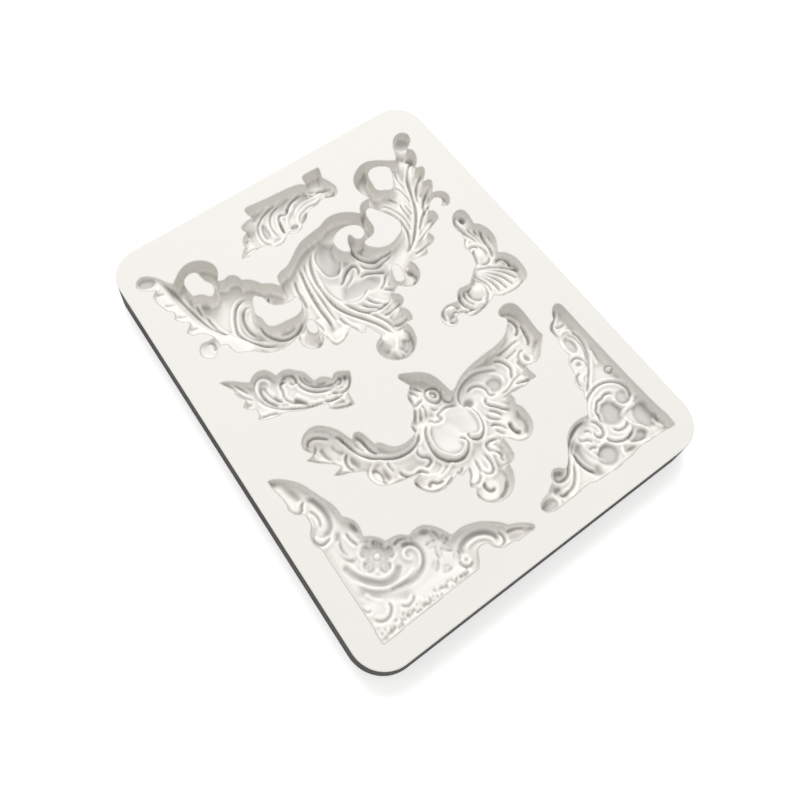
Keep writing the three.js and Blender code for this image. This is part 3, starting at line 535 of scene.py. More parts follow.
def shell_corner():
    lifted[:] = 1.3
    bulb(21.5, -1.5, 4.4, 3.4)
    bulb(45, 24, 4.2, 2.2)
    lift(2.6, 34, 0, 6.5, 5)
    # left volute
    bowl(-1.3, 22.9, 0.1, 2.6, 2.0)
    vein(0.9, 0.28, (20, -2.6), (19.9, -0.6), (20.6, 1), (22, 2))
    pocket(0.8, 22.1, -2.7, 1.7, 1.2)
    vein(1.2, 0.28, (20.5, -2.9), (21.2, -3.9), (22.4, -4.2), (23.6, -3.8))
    vein(0.8, 0.28, (22.4, -1.5), (23.6, -1.3), (24.9, -1.8), (25.2, -3))
    vein(1.1, 0.3, (24.7, 1), (25.2, 0), (26.4, 0.1))
    vein(0.9, 0.3, (25.8, -1.2), (27.2, -2.4), (28.8, -3), (30.4, -3.2))
    # round boss in its double ring
    bowl(-0.9, 34.5, 0.9, 2.6)
    rib(-0.9, 0.36, *circle(34.5, 0.8, 3.0, 100, 170), ends=0.1)
    vein(1.0, 0.28, *circle(33.2, 0.5, 4.9, 118, 120))
    vein(0.9, 0.28, *circle(33.6, 0.5, 3.7, 130, 105))
    vein(0.8, 0.28, (31.2, 3.3), (32.3, 2.6), (33.8, 3))
    rib(-0.8, 0.6, (37, 4.8), (37.8, 2.8), (37.9, 0.6), (37.2, -1.4), (35.8, -2.8), (33.8, -3.4))
    rib(0.7, 0.36, (35.9, 4), (36.6, 2.2), (36.6, 0.2), (35.8, -1.4))
    pocket(0.7, 31.6, -3.9, 3.2, 0.7, 8)
    vein(1.0, 0.3, (27.6, -3.9), (28.6, -4.8), (30.2, -4.9), (32.2, -4.7), (34.4, -4.1), (36, -3.3))
    # shell: crisp ribs that spread from its root
    for points in (((37.4, 6.2), (38.6, 3.4), (39, 0.8), (38.6, -1.8)),
                   ((37.8, 6.6), (39.8, 3.6), (40.9, 0.6), (41.1, -3)),
                   ((38.2, 6.9), (41, 3.7), (42.8, 0.6), (43.6, -3.6)),
                   ((38.6, 7.1), (42, 4.2), (44.6, 1), (46.2, -3.6)),
                   ((39, 7.3), (43, 4.8), (46.2, 1.9), (48.6, -2.4)),
                   ((39.4, 7.6), (43.8, 5.4), (47, 3), (50, 0))):
        vein(0.9, 0.28, *points, ends=0.07)
    rib(-1.2, 0.34, (38.2, -2.2), (39.2, -3.7), (41, -4.4), (43.4, -4.8), (46, -5), (48.4, -4.6),
        (50.2, -3.8))
    bowl(-0.8, 47, 4.6, 1.9, 1.2, 10)
    vein(1.3, 0.32, (46.4, 6.4), (48, 6.2), (49.2, 5), (49.5, 3.4), (48.9, 2))
    pocket(0.8, 50, 1.2, 0.9, 2.4, 8)
    # upper leaf
    bowl(-0.9, 44, 10.6, 1.7, 2.8, -10)
    vein(1.2, 0.32, (43.4, 13.6), (42.5, 12.3), (41.8, 10.4), (41.2, 8.6))
    vein(0.8, 0.3, (42, 7.9), (43.4, 7.3), (45, 7.6), (46, 8.8))
    vein(0.9, 0.28, (45.8, 13.6), (46.2, 11.6), (46.1, 9.8))
    vein(0.8, 0.28, (42.4, 14.6), (43.4, 14.9), (44.6, 14.4), (45.4, 13.4))
    vein(0.7, 0.28, (41.8, 16.2), (42.8, 17.5), (44.1, 18.4))
    vein(0.9, 0.28, (46.4, 26.2), (44.8, 25.9), (44, 24.4), (44.2, 22.2), (44.9, 19.8), (45.8, 17.4),
         (46.4, 14.6))
    vein(0.8, 0.28, (46.2, 21.2), (46.7, 18.6), (47.1, 16), (47.1, 13.4), (46.8, 10.6))
    vein(0.8, 0.28, (47.6, 21), (47.9, 18.2), (47.9, 15), (47.5, 12))
    vein(1.4, 0.32, (49.8, 19.4), (49.1, 17.2), (48.5, 14.6), (48.1, 11.8), (47.6, 9.4), (46.8, 7.8))
    rib(0.8, 0.34, (45.4, 25), (45.2, 23.4), (45.7, 21.6), (45.8, 20))
    pocket(1.0, 46.8, 24, 1.0, 1.3)


def cartouche():
    shelve(2.6, 5.0, (-26.6, -17), (-29, -18.6), (-31.4, -18.4), (-33, -15), (-34.6, -12.6), (-36, -12.4))
    shelve(2.4, 4.0, (-9, -34.6), (-14, -33.2), (-20, -33.2), (-25, -31), (-26.2, -27))
    lift(2.0, -28, -30.5, 4.4, 4)
    lift(1.6, 2, -30.5, 9, 8, -20)
    lift(2.4, 27.5, -30.4, 6, 2.6)
    lift(2.2, -1.5, -18.5, 5, 4.5)
    bulb(-14, -39.5, 5, 1.4)
    bulb(8, -43.5, 3.4, 1.4)
    bulb(16.5, -40, 5.4, 1.2)
    bulb(-1, -49.5, 6.4, 1.6)
    # left wing
    rib(-0.9, 0.34, (-37.7, -10), (-37.1, -11.7), (-36, -12.5), (-35.1, -11.8), (-34.9, -10.9))
    vein(1.1, 0.32, (-36.8, -10.8), (-36.2, -9.4), (-34.6, -9), (-33, -9.6), (-31.6, -10.8),
         (-30.2, -12.2))
    vein(1.3, 0.34, (-29.2, -12.4), (-28.1, -13), (-27.4, -15.4), (-26.8, -18), (-25.8, -20.8),
         (-24.2, -23), (-22.2, -24.8), (-20.2, -26.2), (-17.6, -27.6), (-14.6, -28.2), (-11.6, -28),
         (-9.4, -26.9), (-8.2, -25.2), ends=0.06)
    vein(1.1, 0.34, (-24.1, -15.8), (-23.2, -17.2), (-22.9, -19.6), (-22.5, -22), (-21.4, -24.2))
    vein(0.6, 0.3, (-25.6, -16.8), (-25.2, -19), (-24.2, -21.6))
    vein(1.0, 0.32, (-28.2, -18.2), (-29.5, -19.1), (-30.1, -20.6), (-30, -22.2), (-29.2, -23.7))
    vein(1.0, 0.32, (-38.8, -13.9), (-37, -15.4), (-35, -17), (-33.3, -18.7), (-31.8, -21))
    vein(0.9, 0.3, (-35.2, -21), (-34, -22), (-32.4, -22.6), (-30.2, -23.5))
    rib(-0.7, 0.8, (-33.9, -12), (-33.8, -14.6), (-33.2, -17.4), (-32.4, -19.6))
    rib(-0.5, 0.6, (-31, -13.4), (-30.4, -16), (-29, -18))
    bowl(0.6, -28, -21.4, 1.6, 2.8, 15)
    # spiral at the heart of the left wing
    rib(0.9, 0.4, (-20.4, -26.8), (-22, -25.6), (-24.4, -25.5), (-26.2, -26.8), (-26.8, -29),
        (-25.9, -31.3), (-23.6, -32.6), (-21, -33))
    rib(-1.0, 0.34, (-26, -26.9), (-24.7, -27), (-24, -28.2), (-23.9, -30), (-24.3, -31.3), (-23, -31.5))
    bowl(1.1, -22.7, -29.6, 1.5, 2.4)
    vein(0.9, 0.32, (-20.7, -27), (-20.8, -28.6), (-20.5, -30.4))
    vein(0.9, 0.3, (-24.8, -32.2), (-22.6, -33), (-20.2, -33.5), (-18.2, -34))
    vein(1.1, 0.34, (-19.3, -30.6), (-18.8, -32.4), (-17.6, -33.8), (-15.8, -34.5), (-14, -34.4),
         (-12.8, -35.8), (-11.4, -36.8))
    vein(0.9, 0.3, (-9.4, -28.8), (-11, -28.8), (-12, -30), (-11.3, -31.4), (-9.9, -32.5), (-9.6, -33.6),
         (-10.9, -34.3), (-12.6, -34.3))
    vein(1.2, 0.34, (-17.6, -36), (-17.6, -37.6), (-17, -39.2), (-15.8, -40.7), (-13.8, -41.8),
         (-11.4, -42), (-9, -41.6), (-7.2, -41), ends=0.06)
    rib(-1.3, 0.5, (-14.8, -40.3), (-14.3, -39.1), (-13.2, -38.9), (-12.5, -39.7), (-11.4, -40.3),
        (-9.8, -40.5))
    rib(0.8, 0.4, (-11.6, -38.6), (-9.4, -39), (-7.4, -38.6), (-5.4, -37.8), (-3.8, -37.4))
    rib(0.6, 0.36, (-12, -35), (-12.2, -36.8), (-11, -37.8), (-9, -37.7), (-7.4, -36.6), (-7.6, -35.2))
    rib(-0.8, 0.36, (-5.6, -40.3), (-5, -41.1), (-4.1, -40.9), (-3.3, -40.1))
    # the medallion: a shallow dish in a plain rim that curls in at its foot
    rib(1.5, 0.5, (8.6, -26.2), (9.3, -29), (9.1, -32), (8, -34.6), (6.2, -35.5), (4.8, -35.1), (4.3, -34),
        ends=0.06)
    rib(1.5, 0.5, (-4.2, -25.2), (-6.2, -27.4), (-7, -30.2), (-6.8, -32.8), (-5.6, -35), (-3.6, -36.7),
        (-1.4, -37.2), (0.4, -36.4), (1.3, -35), (1, -33.8), (0.2, -33.6), ends=0.06)
    vein(1.1, 0.32, (9.3, -27), (9.9, -30), (9.6, -32.6), (8.4, -35.1), (6.3, -36.4), (4.3, -35.8),
         (3.5, -34.3), (4.3, -33.2), ends=0.06)
    vein(1.1, 0.32, (-4.5, -24.6), (-6.6, -26.8), (-7.7, -29.6), (-7.9, -31.8), (-7.2, -34.3),
         (-5.4, -36.6), (-2.9, -38), (-0.7, -38.1), (1.2, -37), (2, -35.4), (1.4, -33.6), (0.4, -33),
         ends=0.06)
    vein(0.8, 0.32, (-4.4, -24.7), (-2.8, -24.2), (-2.2, -25.3), (-0.8, -25.7), (0.4, -25.4), (0.1, -24.2),
         (1.8, -23.5), (4, -23.4), (5.8, -24.2), (7, -25))
    bowl(0.8, 1, -29.6, 7.4, 6.4, -20)
    bowl(0.5, 1.6, -34, 1.3)
    # crown above the medallion
    rib(0.9, 0.4, *circle(2.7, -18.2, 1.7), ends=0.01)
    rib(-1.0, 0.34, *circle(2.7, -18.2, 2.5), ends=0.01)
    rib(-0.8, 0.34, *circle(2.7, -18.2, 0.9), ends=0.01)
    vein(0.9, 0.3, (-3.9, -14.4), (-4.1, -16.4), (-4.2, -18), (-2.6, -18.1), (-0.8, -17.7))
    vein(0.8, 0.3, (-4.3, -18.4), (-5.4, -20.2), (-6.8, -21.9))
    vein(0.8, 0.3, (-3.3, -19.2), (-4, -21), (-5.1, -22.8))
    vein(0.7, 0.3, (-2.4, -18.8), (-2.3, -20.6), (-3, -22.6))
    vein(0.7, 0.3, (-2.6, -12.8), (-1.8, -14.8), (-1.4, -16.8))
    vein(0.7, 0.3, (-0.4, -13), (0.2, -14.6), (0.8, -15.8))
    vein(0.7, 0.3, (4.6, -20.4), (5, -22), (6, -23))
    vein(0.6, 0.28, (-0.6, -21), (0.2, -22.2), (1.8, -22.6))
    rib(-1.6, 0.5, (-8.7, -22.6), (-8.6, -24.6))
    # right wing
    arch = ((8.2, -26.8), (7.7, -25), (8.2, -23.2), (9.6, -21.6), (12, -20.2), (14.4, -19.6), (17, -19.5),
            (19.4, -20.1), (21.4, -21), (24, -22.6))
    fold(1.5, 2.6, *arch, ends=0.06)
    rib(-0.8, 0.34, *arch, ends=0.06)
    bowl(1.4, 10.2, -26.2, 2.2, 1.9)
    vein(0.9, 0.34, (11.4, -23.4), (13.4, -22.7), (15.2, -23), (16.6, -24.2), (17.2, -26), (17.1, -27.6),
         (18.2, -28.2), (19.4, -27.6))
    pocket(0.9, 20, -25.8, 2.9, 2.5, -20)
    rib(0.8, 0.4, (20.4, -22), (22.6, -23.6), (23.4, -25.6), (22.6, -27.6))
    vein(1.0, 0.34, (24.4, -19.6), (26.4, -21), (27.4, -23), (27.6, -24.6), (26.6, -26.2), (25.2, -28))
    vein(0.8, 0.3, (19.6, -29.6), (22.4, -29.5), (25.2, -28.4), (28.4, -27.8))
    vein(0.9, 0.3, (19.4, -30.6), (22.6, -30.8), (25, -31.3), (27, -31.5))
    vein(1.2, 0.3, (24.4, -29.6), (26.8, -30.4), (29.3, -31.2))
    vein(0.6, 0.3, (26.4, -19.2), (30, -19), (33.4, -18.6), (36, -18.8))
    vein(0.5, 0.3, (28, -21.4), (31, -21.2), (33.4, -20.8))
    vein(1.3, 0.32, (35.4, -17.3), (36.8, -16.7), (38, -15.2), (38.1, -13.4), (37.4, -11.7), (36, -10.7))
    vein(1.1, 0.34, (39, -15), (38.7, -18), (38, -20.6), (36.8, -22.2))
    rib(0.8, 0.34, *circle(33.8, -24.7, 1.5, 40, 320, squash=1.3), ends=0.04)
    rib(-0.9, 0.32, *circle(33.8, -24.8, 2.3, 60, 220, squash=1.2), ends=0.1)
    bowl(0.8, 33.9, -24.8, 0.9, 1.3)
    rib(-0.9, 0.5, (31, -23.6), (30.8, -25), (31.2, -26.6), (32.6, -27.3))
    # lower leaves
    vein(1.2, 0.32, (15.6, -27.6), (14.6, -28.6), (14.8, -30), (16, -31.3), (17.5, -33.2), (19, -34.8))
    vein(0.9, 0.3, (12.2, -31.6), (12.5, -33.2), (13.6, -34.5), (14.8, -35.6))
    vein(0.8, 0.3, (13.5, -31.2), (15, -32.6), (16.1, -34.8))
    vein(0.9, 0.32, (10.9, -35.3), (12.5, -35.7), (13.6, -37.3), (14.3, -39.2))
    vein(0.6, 0.3, (11.6, -37), (12.2, -38.6), (13, -39.8))
    trough(1.2, 0.8, (16, -37.4), (15.7, -39.4), (16, -41), (17, -42.2))
    trough(0.6, 2.1, *circle(16.6, -39.8, 4.2, 60, -150))
    vein(1.0, 0.32, (12.8, -41), (13.5, -42.8), (15, -44.1), (17, -44.4), (18.8, -43.6))
    vein(1.1, 0.32, (10.6, -39.8), (9.4, -39.1), (7.8, -38.7), (6.3, -39.3), (6.3, -40.6), (7.1, -42.2),
         (7.8, -43.6), (7.2, -45), (7.7, -46.3))
    bowl(1.0, 8.6, -43, 1.3, 3.4)
    vein(0.9, 0.32, (1.2, -39.8), (0.7, -42.2), (0.4, -44.6), (1.4, -46.2), (3, -46.2), (4.1, -44.8),
         (4.4, -42.6), (4.1, -40.2))
    vein(0.9, 0.32, (-1.7, -40.6), (-2.1, -42.2), (-3.2, -43.8), (-4.9, -45.7), (-3.5, -46.5), (-2, -46.2),
         (-0.6, -44.6), (-0.1, -42.6))
    vein(0.7, 0.3, (5.5, -40), (5.9, -42.4), (5.4, -44.8), (5.2, -46.6))
    rib(-1.0, 0.5, (-5, -47.8), (-5, -50.2), (-4, -52.2), (-2, -53.2), (0.6, -53.2), (3, -52),
        (4.8, -49.8))
    trough(0.9, 0.7, (-1.4, -47), (-1.9, -48.8), (-1.2, -50.3), (0.6, -50.4))
    trough(0.6, 2.3, *circle(-1, -49.5, 4.6, 50, -140))


def scroll_bracket():
    lifted[:] = 1.3
    bulb(9, -62.4, 4, 2.4)
    bulb(16.6, -57.6, 3.4, 2.4)
    lift(2.4, 42.5, -35, 5, 10, -25)
    lift(2.2, 30.5, -54, 5, 4.4)
    # tail
    pocket(0.8, 9, -63, 3.0, 2.2)
    rib(0.7, 0.4, (11.4, -60.2), (11.9, -62.2), (12.4, -64.2))
    bowl(0.7, 13.8, -60.6, 1.6, 1.2)
    vein(1.0, 0.32, (13.8, -61.4), (14.2, -62.9), (16, -63), (18.4, -62.5), (20.2, -61.2), (21.6, -59.4),
         (22.6, -57.4))
    vein(1.2, 0.34, (14.8, -57.4), (15.3, -59), (16.9, -59.7), (18.8, -59.2), (20.6, -57.8), (22.4, -55.9),
         (24.2, -53.9), (26.2, -52.2), (28.4, -50.8), (30.8, -50), (33.4, -49.9), ends=0.06)
    vein(0.7, 0.3, (22.6, -57), (24.4, -55), (26.4, -53.2), (28.6, -52.1))
    pocket(1.0, 17, -57.7, 2.0)
    trough(0.4, 1.4, (13.6, -60.4), (14.2, -62.6), (15.8, -63.9))
    # left flower in its round frame
    vein(1.0, 0.32, (24.8, -55), (24.5, -58), (25.1, -61), (26.6, -63.6))
    trough(0.9, 1.9, (27.8, -52.7), (25.8, -55.2), (25.2, -59.2), (26.4, -62.4), (29.4, -63.7))
    rib(0.7, 0.3, (28.2, -54.6), (28.3, -57), (29.2, -59.4), (30.2, -61.2), (31.4, -63))
    vein(0.7, 0.3, (28.2, -52.6), (28.8, -54.2), (30.4, -54.9), (31.2, -56.4))
    vein(0.7, 0.3, (31, -52.4), (32.4, -53), (32.6, -54.6))
    vein(0.6, 0.3, (28.8, -57.2), (30.4, -57.4), (31.8, -58.6))
    rib(1.0, 0.36, (30.2, -59.6), (31.6, -58.2), (33.4, -57.9), (35.4, -58.6))
    pocket(1.1, 32.7, -61.4, 3.8, 3.4)
    vein(1.0, 0.32, (35, -50.8), (36.2, -52.4), (36.5, -54.4), (35.6, -56.2), (34, -56.2), (33.3, -54.8),
         (34.2, -53.8))
    # right scroll round its pocket
    vein(1.0, 0.28, (34.8, -50.6), (36, -48.4), (37.6, -46.6), (39.8, -45.2), (42.4, -44.3), (45, -44.1),
         (47.6, -44.8), (49.8, -46.4), (51, -48.6), (50.9, -50.8), (49.8, -52.6), ends=0.06)
    vein(1.1, 0.3, (38.2, -54.4), (37.8, -52.6), (38.4, -51.2), (38.6, -49.8), (39.8, -48.8), (41, -47.8),
         (42.6, -47.8), (44.2, -47.3), (45.8, -47.8), (46.7, -49.2))
    pocket(1.0, 41.7, -52.4, 4.1, 4.3, 10)
    pocket(0.7, 48.2, -50.9, 2.5)
    rib(1.1, 0.4, (45.6, -49), (45.2, -51), (46, -52.8), (47.8, -53.4), (49.8, -53), (51, -52))
    vein(0.9, 0.3, (39.2, -56), (39.8, -57.5), (41.6, -58.2), (43.4, -57.8), (44.2, -56.6))
    rib(1.1, 0.4, (43.4, -55.4), (45, -54.4), (47.4, -54.2), (50, -54.6))
    rib(1.1, 0.4, (44.2, -55.4), (44.2, -57.6), (45, -59.4), (46.4, -60.6), (47.2, -62.2), (47.2, -64))
    pocket(0.9, 50, -58.6, 4.2, 4.6)
    rib(0.9, 0.38, (50.8, -60.4), (50.6, -62.6), (51.4, -64.6))
    vein(1.0, 0.32, (35.4, -57), (36.1, -58.7), (37.6, -60.1), (39.8, -60.9), (42.4, -60.6), (44.6, -59.6))
    pocket(1.1, 43.4, -62.2, 3.6, 2.0, -8)
    rib(1.0, 0.38, (36.8, -60.8), (38.8, -62), (41.2, -63.2), (43.8, -64.2), (46, -64.6))
    rib(0.9, 0.38, (37.6, -61.6), (36.6, -63), (36.4, -64.6))
    bowl(0.9, 39.2, -64, 2.2, 0.9, -18)
    # stem and upper leaf
    vein(1.0, 0.28, (49.6, -26), (50.3, -28.6), (50, -31.8), (49, -34.4), (47.4, -36.9), (45, -39.5),
         (42.6, -41.8), (40.2, -44.4), ends=0.06)
    vein(0.9, 0.3, (47.6, -26), (49.1, -28), (49.3, -31), (48.5, -33.8), (46.9, -36.4), (44.8, -38.7))
    rib(0.8, 0.36, (45.6, -25.8), (47, -24.9), (48.8, -25.2), (50, -26.8))
    vein(1.1, 0.32, (50, -17.6), (48.9, -19.3), (47.2, -20.6), (45.8, -21.8), (45.1, -23.6), (45.2, -26))
    vein(0.6, 0.3, (46.4, -22.4), (48.2, -23.2), (50, -23))
    pocket(0.9, 46.6, -29.6, 2.0, 3.4, -10)
    vein(0.9, 0.3, (42.4, -34.6), (43.4, -33.8), (45, -34.1), (46, -35.6), (46.1, -37.4))
    bowl(0.6, 44.1, -35.9, 1.4, 1.0)
    vein(0.9, 0.3, (39.9, -41.8), (40, -40), (40.9, -38.6), (42.6, -38.2))
    vein(0.6, 0.28, (41.6, -41.6), (42.8, -40.2), (44, -39.8))
    rib(0.8, 0.5, (48.6, -39.4), (49.4, -37), (50.2, -34))
    bowl(-2.2, 50.6, -42, 0.75)
    rib(-0.8, 0.2, *circle(50.6, -42, 0.95), ends=0.01)


def flower_bracket():
    lifted[:] = 1.9
    lift(3.4, -50.5, -20, 3.0, 7)
    lift(2.9, -46, -60, 9, 6)
    lift(2.6, -30, -62, 12, 3)
    lift(2.8, 0, -63, 5, 3)
    # upper leaf and stem
    bowl(0.9, -48, -19.6, 1.8, 4, 22)
    vein(1.0, 0.32, (-50.6, -21.6), (-50.7, -23.6), (-49.7, -25.1), (-48.4, -25), (-47.4, -23.6),
         (-46, -22.8))
    trough(0.6, 1.0, (-46.4, -22.8), (-44.6, -23.6), (-43.6, -25.8), (-43.1, -28.4), (-43.3, -31),
           (-44.4, -33.2), (-46.4, -33.9), (-47.8, -33))
    vein(0.7, 0.3, (-46.6, -25.8), (-45.7, -27.8), (-45.7, -30), (-46.5, -31.8))
    rib(0.7, 0.36, (-48.4, -27), (-47.9, -29), (-48.2, -31))
    vein(0.9, 0.3, (-49.8, -32.2), (-49.9, -34.2), (-48.7, -35.7), (-46.8, -35.7), (-45.4, -35))
    rib(0.7, 0.36, (-48.9, -32.8), (-48.4, -34.2), (-47.2, -34.4))
    # the scroll that carries the flower
    trough(0.5, 1.0, (-42.8, -34.6), (-44.4, -37), (-45.3, -40.2), (-44.8, -42.8), (-43, -44.6))
    rib(0.8, 0.4, (-44.2, -36.6), (-45.4, -38.6), (-45.5, -40.8), (-44.6, -42.6), (-43, -43.6))
    vein(0.9, 0.32, (-41.6, -36.6), (-41.5, -39), (-40.7, -41.4))
    bowl(0.8, -38.7, -36.6, 1.6, 2.4, 8)
    trough(0.5, 1.1, (-47.1, -43.2), (-46.1, -47.2), (-43.2, -51.2), (-39.6, -53.8), (-36.4, -53.4),
           (-34.2, -51.4), ends=0.06)
    trough(0.35, 1.6, (-47.9, -50.2), (-44.9, -53.9), (-40, -57.3), (-35.1, -59.5))
    rib(0.7, 0.4, (-45.4, -43.8), (-44.6, -47), (-42.4, -50), (-39.8, -52), (-37, -51.9), (-35.4, -50.4))
    rib(0.8, 0.42, (-46.8, -48), (-44.8, -51.6), (-41.6, -54.2), (-38, -55.2), (-34.4, -55.2),
        (-31, -54.4))
    trough(0.5, 1.1, (-40.6, -55), (-37, -56.4), (-33, -56.9), (-29.6, -55.6), (-27.7, -52.8),
           (-27.9, -50.2), (-29.6, -48.4), (-31.6, -48.6), ends=0.06)
    rib(1.1, 0.4, (-31.8, -56), (-29.4, -54.4), (-28.3, -52.2), (-28.9, -50.2), (-30.4, -49.3),
        (-31.9, -50), (-32.1, -51.6), (-31, -52.3), (-30, -51.6))
    vein(0.8, 0.3, (-33, -46.8), (-31.2, -46.4), (-29.2, -46.8), (-27.4, -48.2))
    # five broad petals round a button
    flower = (-38.1, -46.6)
    bowl(-0.4, *flower, 0.9)
    rib(-0.4, 0.3, *circle(*flower, 1.1), ends=0.01)
    for angle in (126, 53, -16, -86, 196):
        petal = polar(*flower, 3.1, angle)
        pocket(0.5, *petal, 2.4, 2.4, angle)
        # the petal's border is drawn in at its tip
        border = [polar(*petal, 2.2 if turn else 1.76, angle + turn) for turn in range(-120, 121, 24)]
        rib(0.5, 0.3, *border, ends=0.1)
        for turn in (-16, 0, 16):
            rib(-0.35, 0.22, *[polar(*flower, radius, angle + turn) for radius in (1.6, 2.8, 4.2)])
    # star flower and leaves to the right
    for x, y, turn, size in ((-22.4, -50.9, 80, 2.0), (-24.3, -52.6, 160, 1.9), (-20.2, -52.8, 15, 1.9),
                             (-21, -55.4, -60, 2.0), (-23.6, -55.4, -120, 1.9), (-26.6, -57.2, 30, 1.8),
                             (-24.4, -59.6, -20, 1.7), (-20.4, -58.4, 50, 1.6)):
        tip, root = polar(x, y, size, turn), polar(x, y, -size, turn)
        pocket(0.5, x, y, size, 0.9, turn)
        rib(0.4, 0.26, root, (x, y), tip)
        rib(-0.5, 0.26, polar(*root, 0.9, turn - 90), polar(x, y, 1.1, turn - 90), tip)
    bowl(0.7, -23.8, -48.6, 2.0, 1.2, -20)
    # scroll at the right
    trough(0.6, 1.0, (-18.8, -59.6), (-18.4, -57.9), (-16.8, -56.9), (-14.4, -56.6), (-11.8, -57.2),
           (-9.6, -58.6), (-8.4, -60.4), (-8.2, -62), ends=0.08)
    rib(1.0, 0.4, (-17.4, -60), (-16.9, -58.7), (-14.8, -58.1), (-12.4, -58.5), (-10.7, -59.6),
        (-9.8, -61), (-10.1, -62.6))
    vein(0.9, 0.3, (-10.6, -62), (-9.9, -63.5), (-8.2, -63.7), (-7, -62.6), (-6.9, -61), (-7.5, -59.7))
    rib(0.8, 0.34, *circle(-19, -61, 1.0), ends=0.01)
    rib(-0.8, 0.34, (-20.8, -60), (-20.5, -61.8), (-19.2, -62.8), (-17.6, -62.4))
    vein(0.6, 0.3, (-5.6, -61.4), (-3.2, -62), (-1, -63.4))
    # the corner: faint curls over a stippled strip along the foot
    vein(0.7, 0.34, (-48.2, -58.8), (-47.2, -60.3), (-45.4, -61), (-43.6, -60.4), (-42.5, -58.9),
         (-42.7, -57.2))
    vein(0.6, 0.3, (-49.2, -55), (-48.6, -56.6), (-47.2, -57))
    vein(0.7, 0.34, (-40.4, -60), (-39, -61.4), (-37, -61.2), (-35.6, -60))
    rib(0.7, 0.5, (-46.6, -52.4), (-45.2, -54.8), (-43, -57))
    for k in range(76):
        x = -48.8 + 0.385 * k
        y = -63.5 + 0.8 * math.sin(2.3 * k) + 0.4 * math.sin(5.1 * k)
        bowl(0.5 if k % 3 else -0.5, x, y, 0.7 + 0.4 * math.sin(1.7 * k) ** 2, 0.5, 37 * k)


CARVERS = {
    "large_acanthus_cell": large_acanthus,
    "crest_leaf_cell": crest_leaf,
    "leaf_scroll_cell": leaf_scroll,
    "shell_corner_cell": shell_corner,
    "cartouche_cell": cartouche,
    "scroll_bracket_cell": scroll_bracket,
    "flower_bracket_cell": flower_bracket,
}

# ---------------------------------------------------------------- the skin


def soften(field, passes):
    """A light blur of the field by its neighbours."""
    for _ in range(passes):
        padded = np.pad(field, 1, mode="edge")
        field = (4 * padded[1:-1, 1:-1] + 2 * (padded[:-2, 1:-1] + padded[2:, 1:-1] + padded[1:-1, :-2]
                 + padded[1:-1, 2:]) + padded[:-2, :-2] + padded[:-2, 2:] + padded[2:, :-2]
                 + padded[2:, 2:]) / 16
    return field


def blur(field, spread):
    """A Gaussian blur of that spread in mm."""
    wave_y = np.fft.fftfreq(rows, GRID)[:, None]
    wave_x = np.fft.fftfreq(columns, GRID)[None, :]
    keep = np.exp(-2 * (math.pi * spread) ** 2 * (wave_x**2 + wave_y**2))
    return np.fft.ifft2(np.fft.fft2(field) * keep).real


def lay_out():
    """What each grid point has: its region, the nearest outline and its height, and the slab's measures.

    The regions are -1 outside the slab, 0 on its land, and one number for each cavity.
    """
    outline, hx, hy, radius = slab_outline(EDGE_INSET)
    region = np.where(inside(outline), 0, -1)
    edge, near_x, near_y = measure(outline, RIM_REACH)[:3]
    height = np.full(GX.shape, TOP)
    foot_height = np.full(GX.shape, TOP)
    for number, (name, carve) in enumerate(CARVERS.items(), 1):
        loops, floor = rim_loops(name)
        hollow = np.zeros(GX.shape, bool)
        dist = np.full(GX.shape, RIM_REACH)
        for loop in loops:
            hollow ^= inside(loop)
            to_loop, foot_x, foot_y = measure(loop, RIM_REACH)[:3]
            dist = np.minimum(dist, to_loop)
            closer = to_loop < edge
            edge = np.where(closer, to_loop, edge)
            near_x = np.where(closer, foot_x, near_x)
            near_y = np.where(closer, foot_y, near_y)
        region[hollow] = number
        for field in (relief, lifted, rounded):
            field[:] = 0
        carve()
        depth = TOP - floor - blur(lifted, LIFT_BLUR)
        upright = WALL_SHARE * (1 - BOWL_WALL_CUT * blur(rounded, BOWL_BLUR))
        t = np.clip(dist / (FOOT_RUN * (1 + BOWL_FOOT_GAIN * rounded)), 0, 1)
        share = upright + (1 - upright) * np.sqrt(np.clip(1 - (1 - t) ** 2, 0, 1))
        fade = np.clip(dist / RELIEF_START, 0, 1)
        carved = TOP - depth * share + RELIEF_GAIN * soften(relief, 1) * fade
        height = np.where(hollow, np.clip(carved, THINNEST, TOP - LEAST_DEPTH), height)
        foot_height = np.where(dist < RIM_REACH, TOP - depth * upright, foot_height)
    return region, edge, near_x, near_y, height, foot_height, (hx, hy, radius)


def shading(height, hollow):
    """The tone of the rubber by its own shape: painted shade in creases and pockets, painted highlight on
    ridges.
    """
    weight = hollow.astype(float)
    # painted shade on the floors of pockets and troughs
    tone = CAVITY_TONE - POCKET_SHADE_TONE * blur(pocket_shade, POCKET_SHADE_BLUR)
    for spread, full, darker, paler in SHADING:
        mean = blur(height * weight, spread) / np.maximum(blur(weight, spread), 0.02)
        level = np.clip((height - mean) / full, -1, 1)
        tone += np.where(level < 0, darker, paler) * level
    return np.where(hollow, tone, 1.0)


def outward(x, y, slab):
    """The direction straight out from the slab's outline at points on it, measured from its middle."""
    hx, hy, radius = slab
    qx, qy = np.abs(x) - (hx - radius), np.abs(y) - (hy - radius)
    corner = (qx > 0) & (qy > 0)
    nx = np.where(corner, qx, (qx - radius > qy - radius).astype(float))
    ny = np.where(corner, qy, 1 - (qx - radius > qy - radius))
    size = np.hypot(nx, ny)
    return nx / size * np.sign(x), ny / size * np.sign(y)


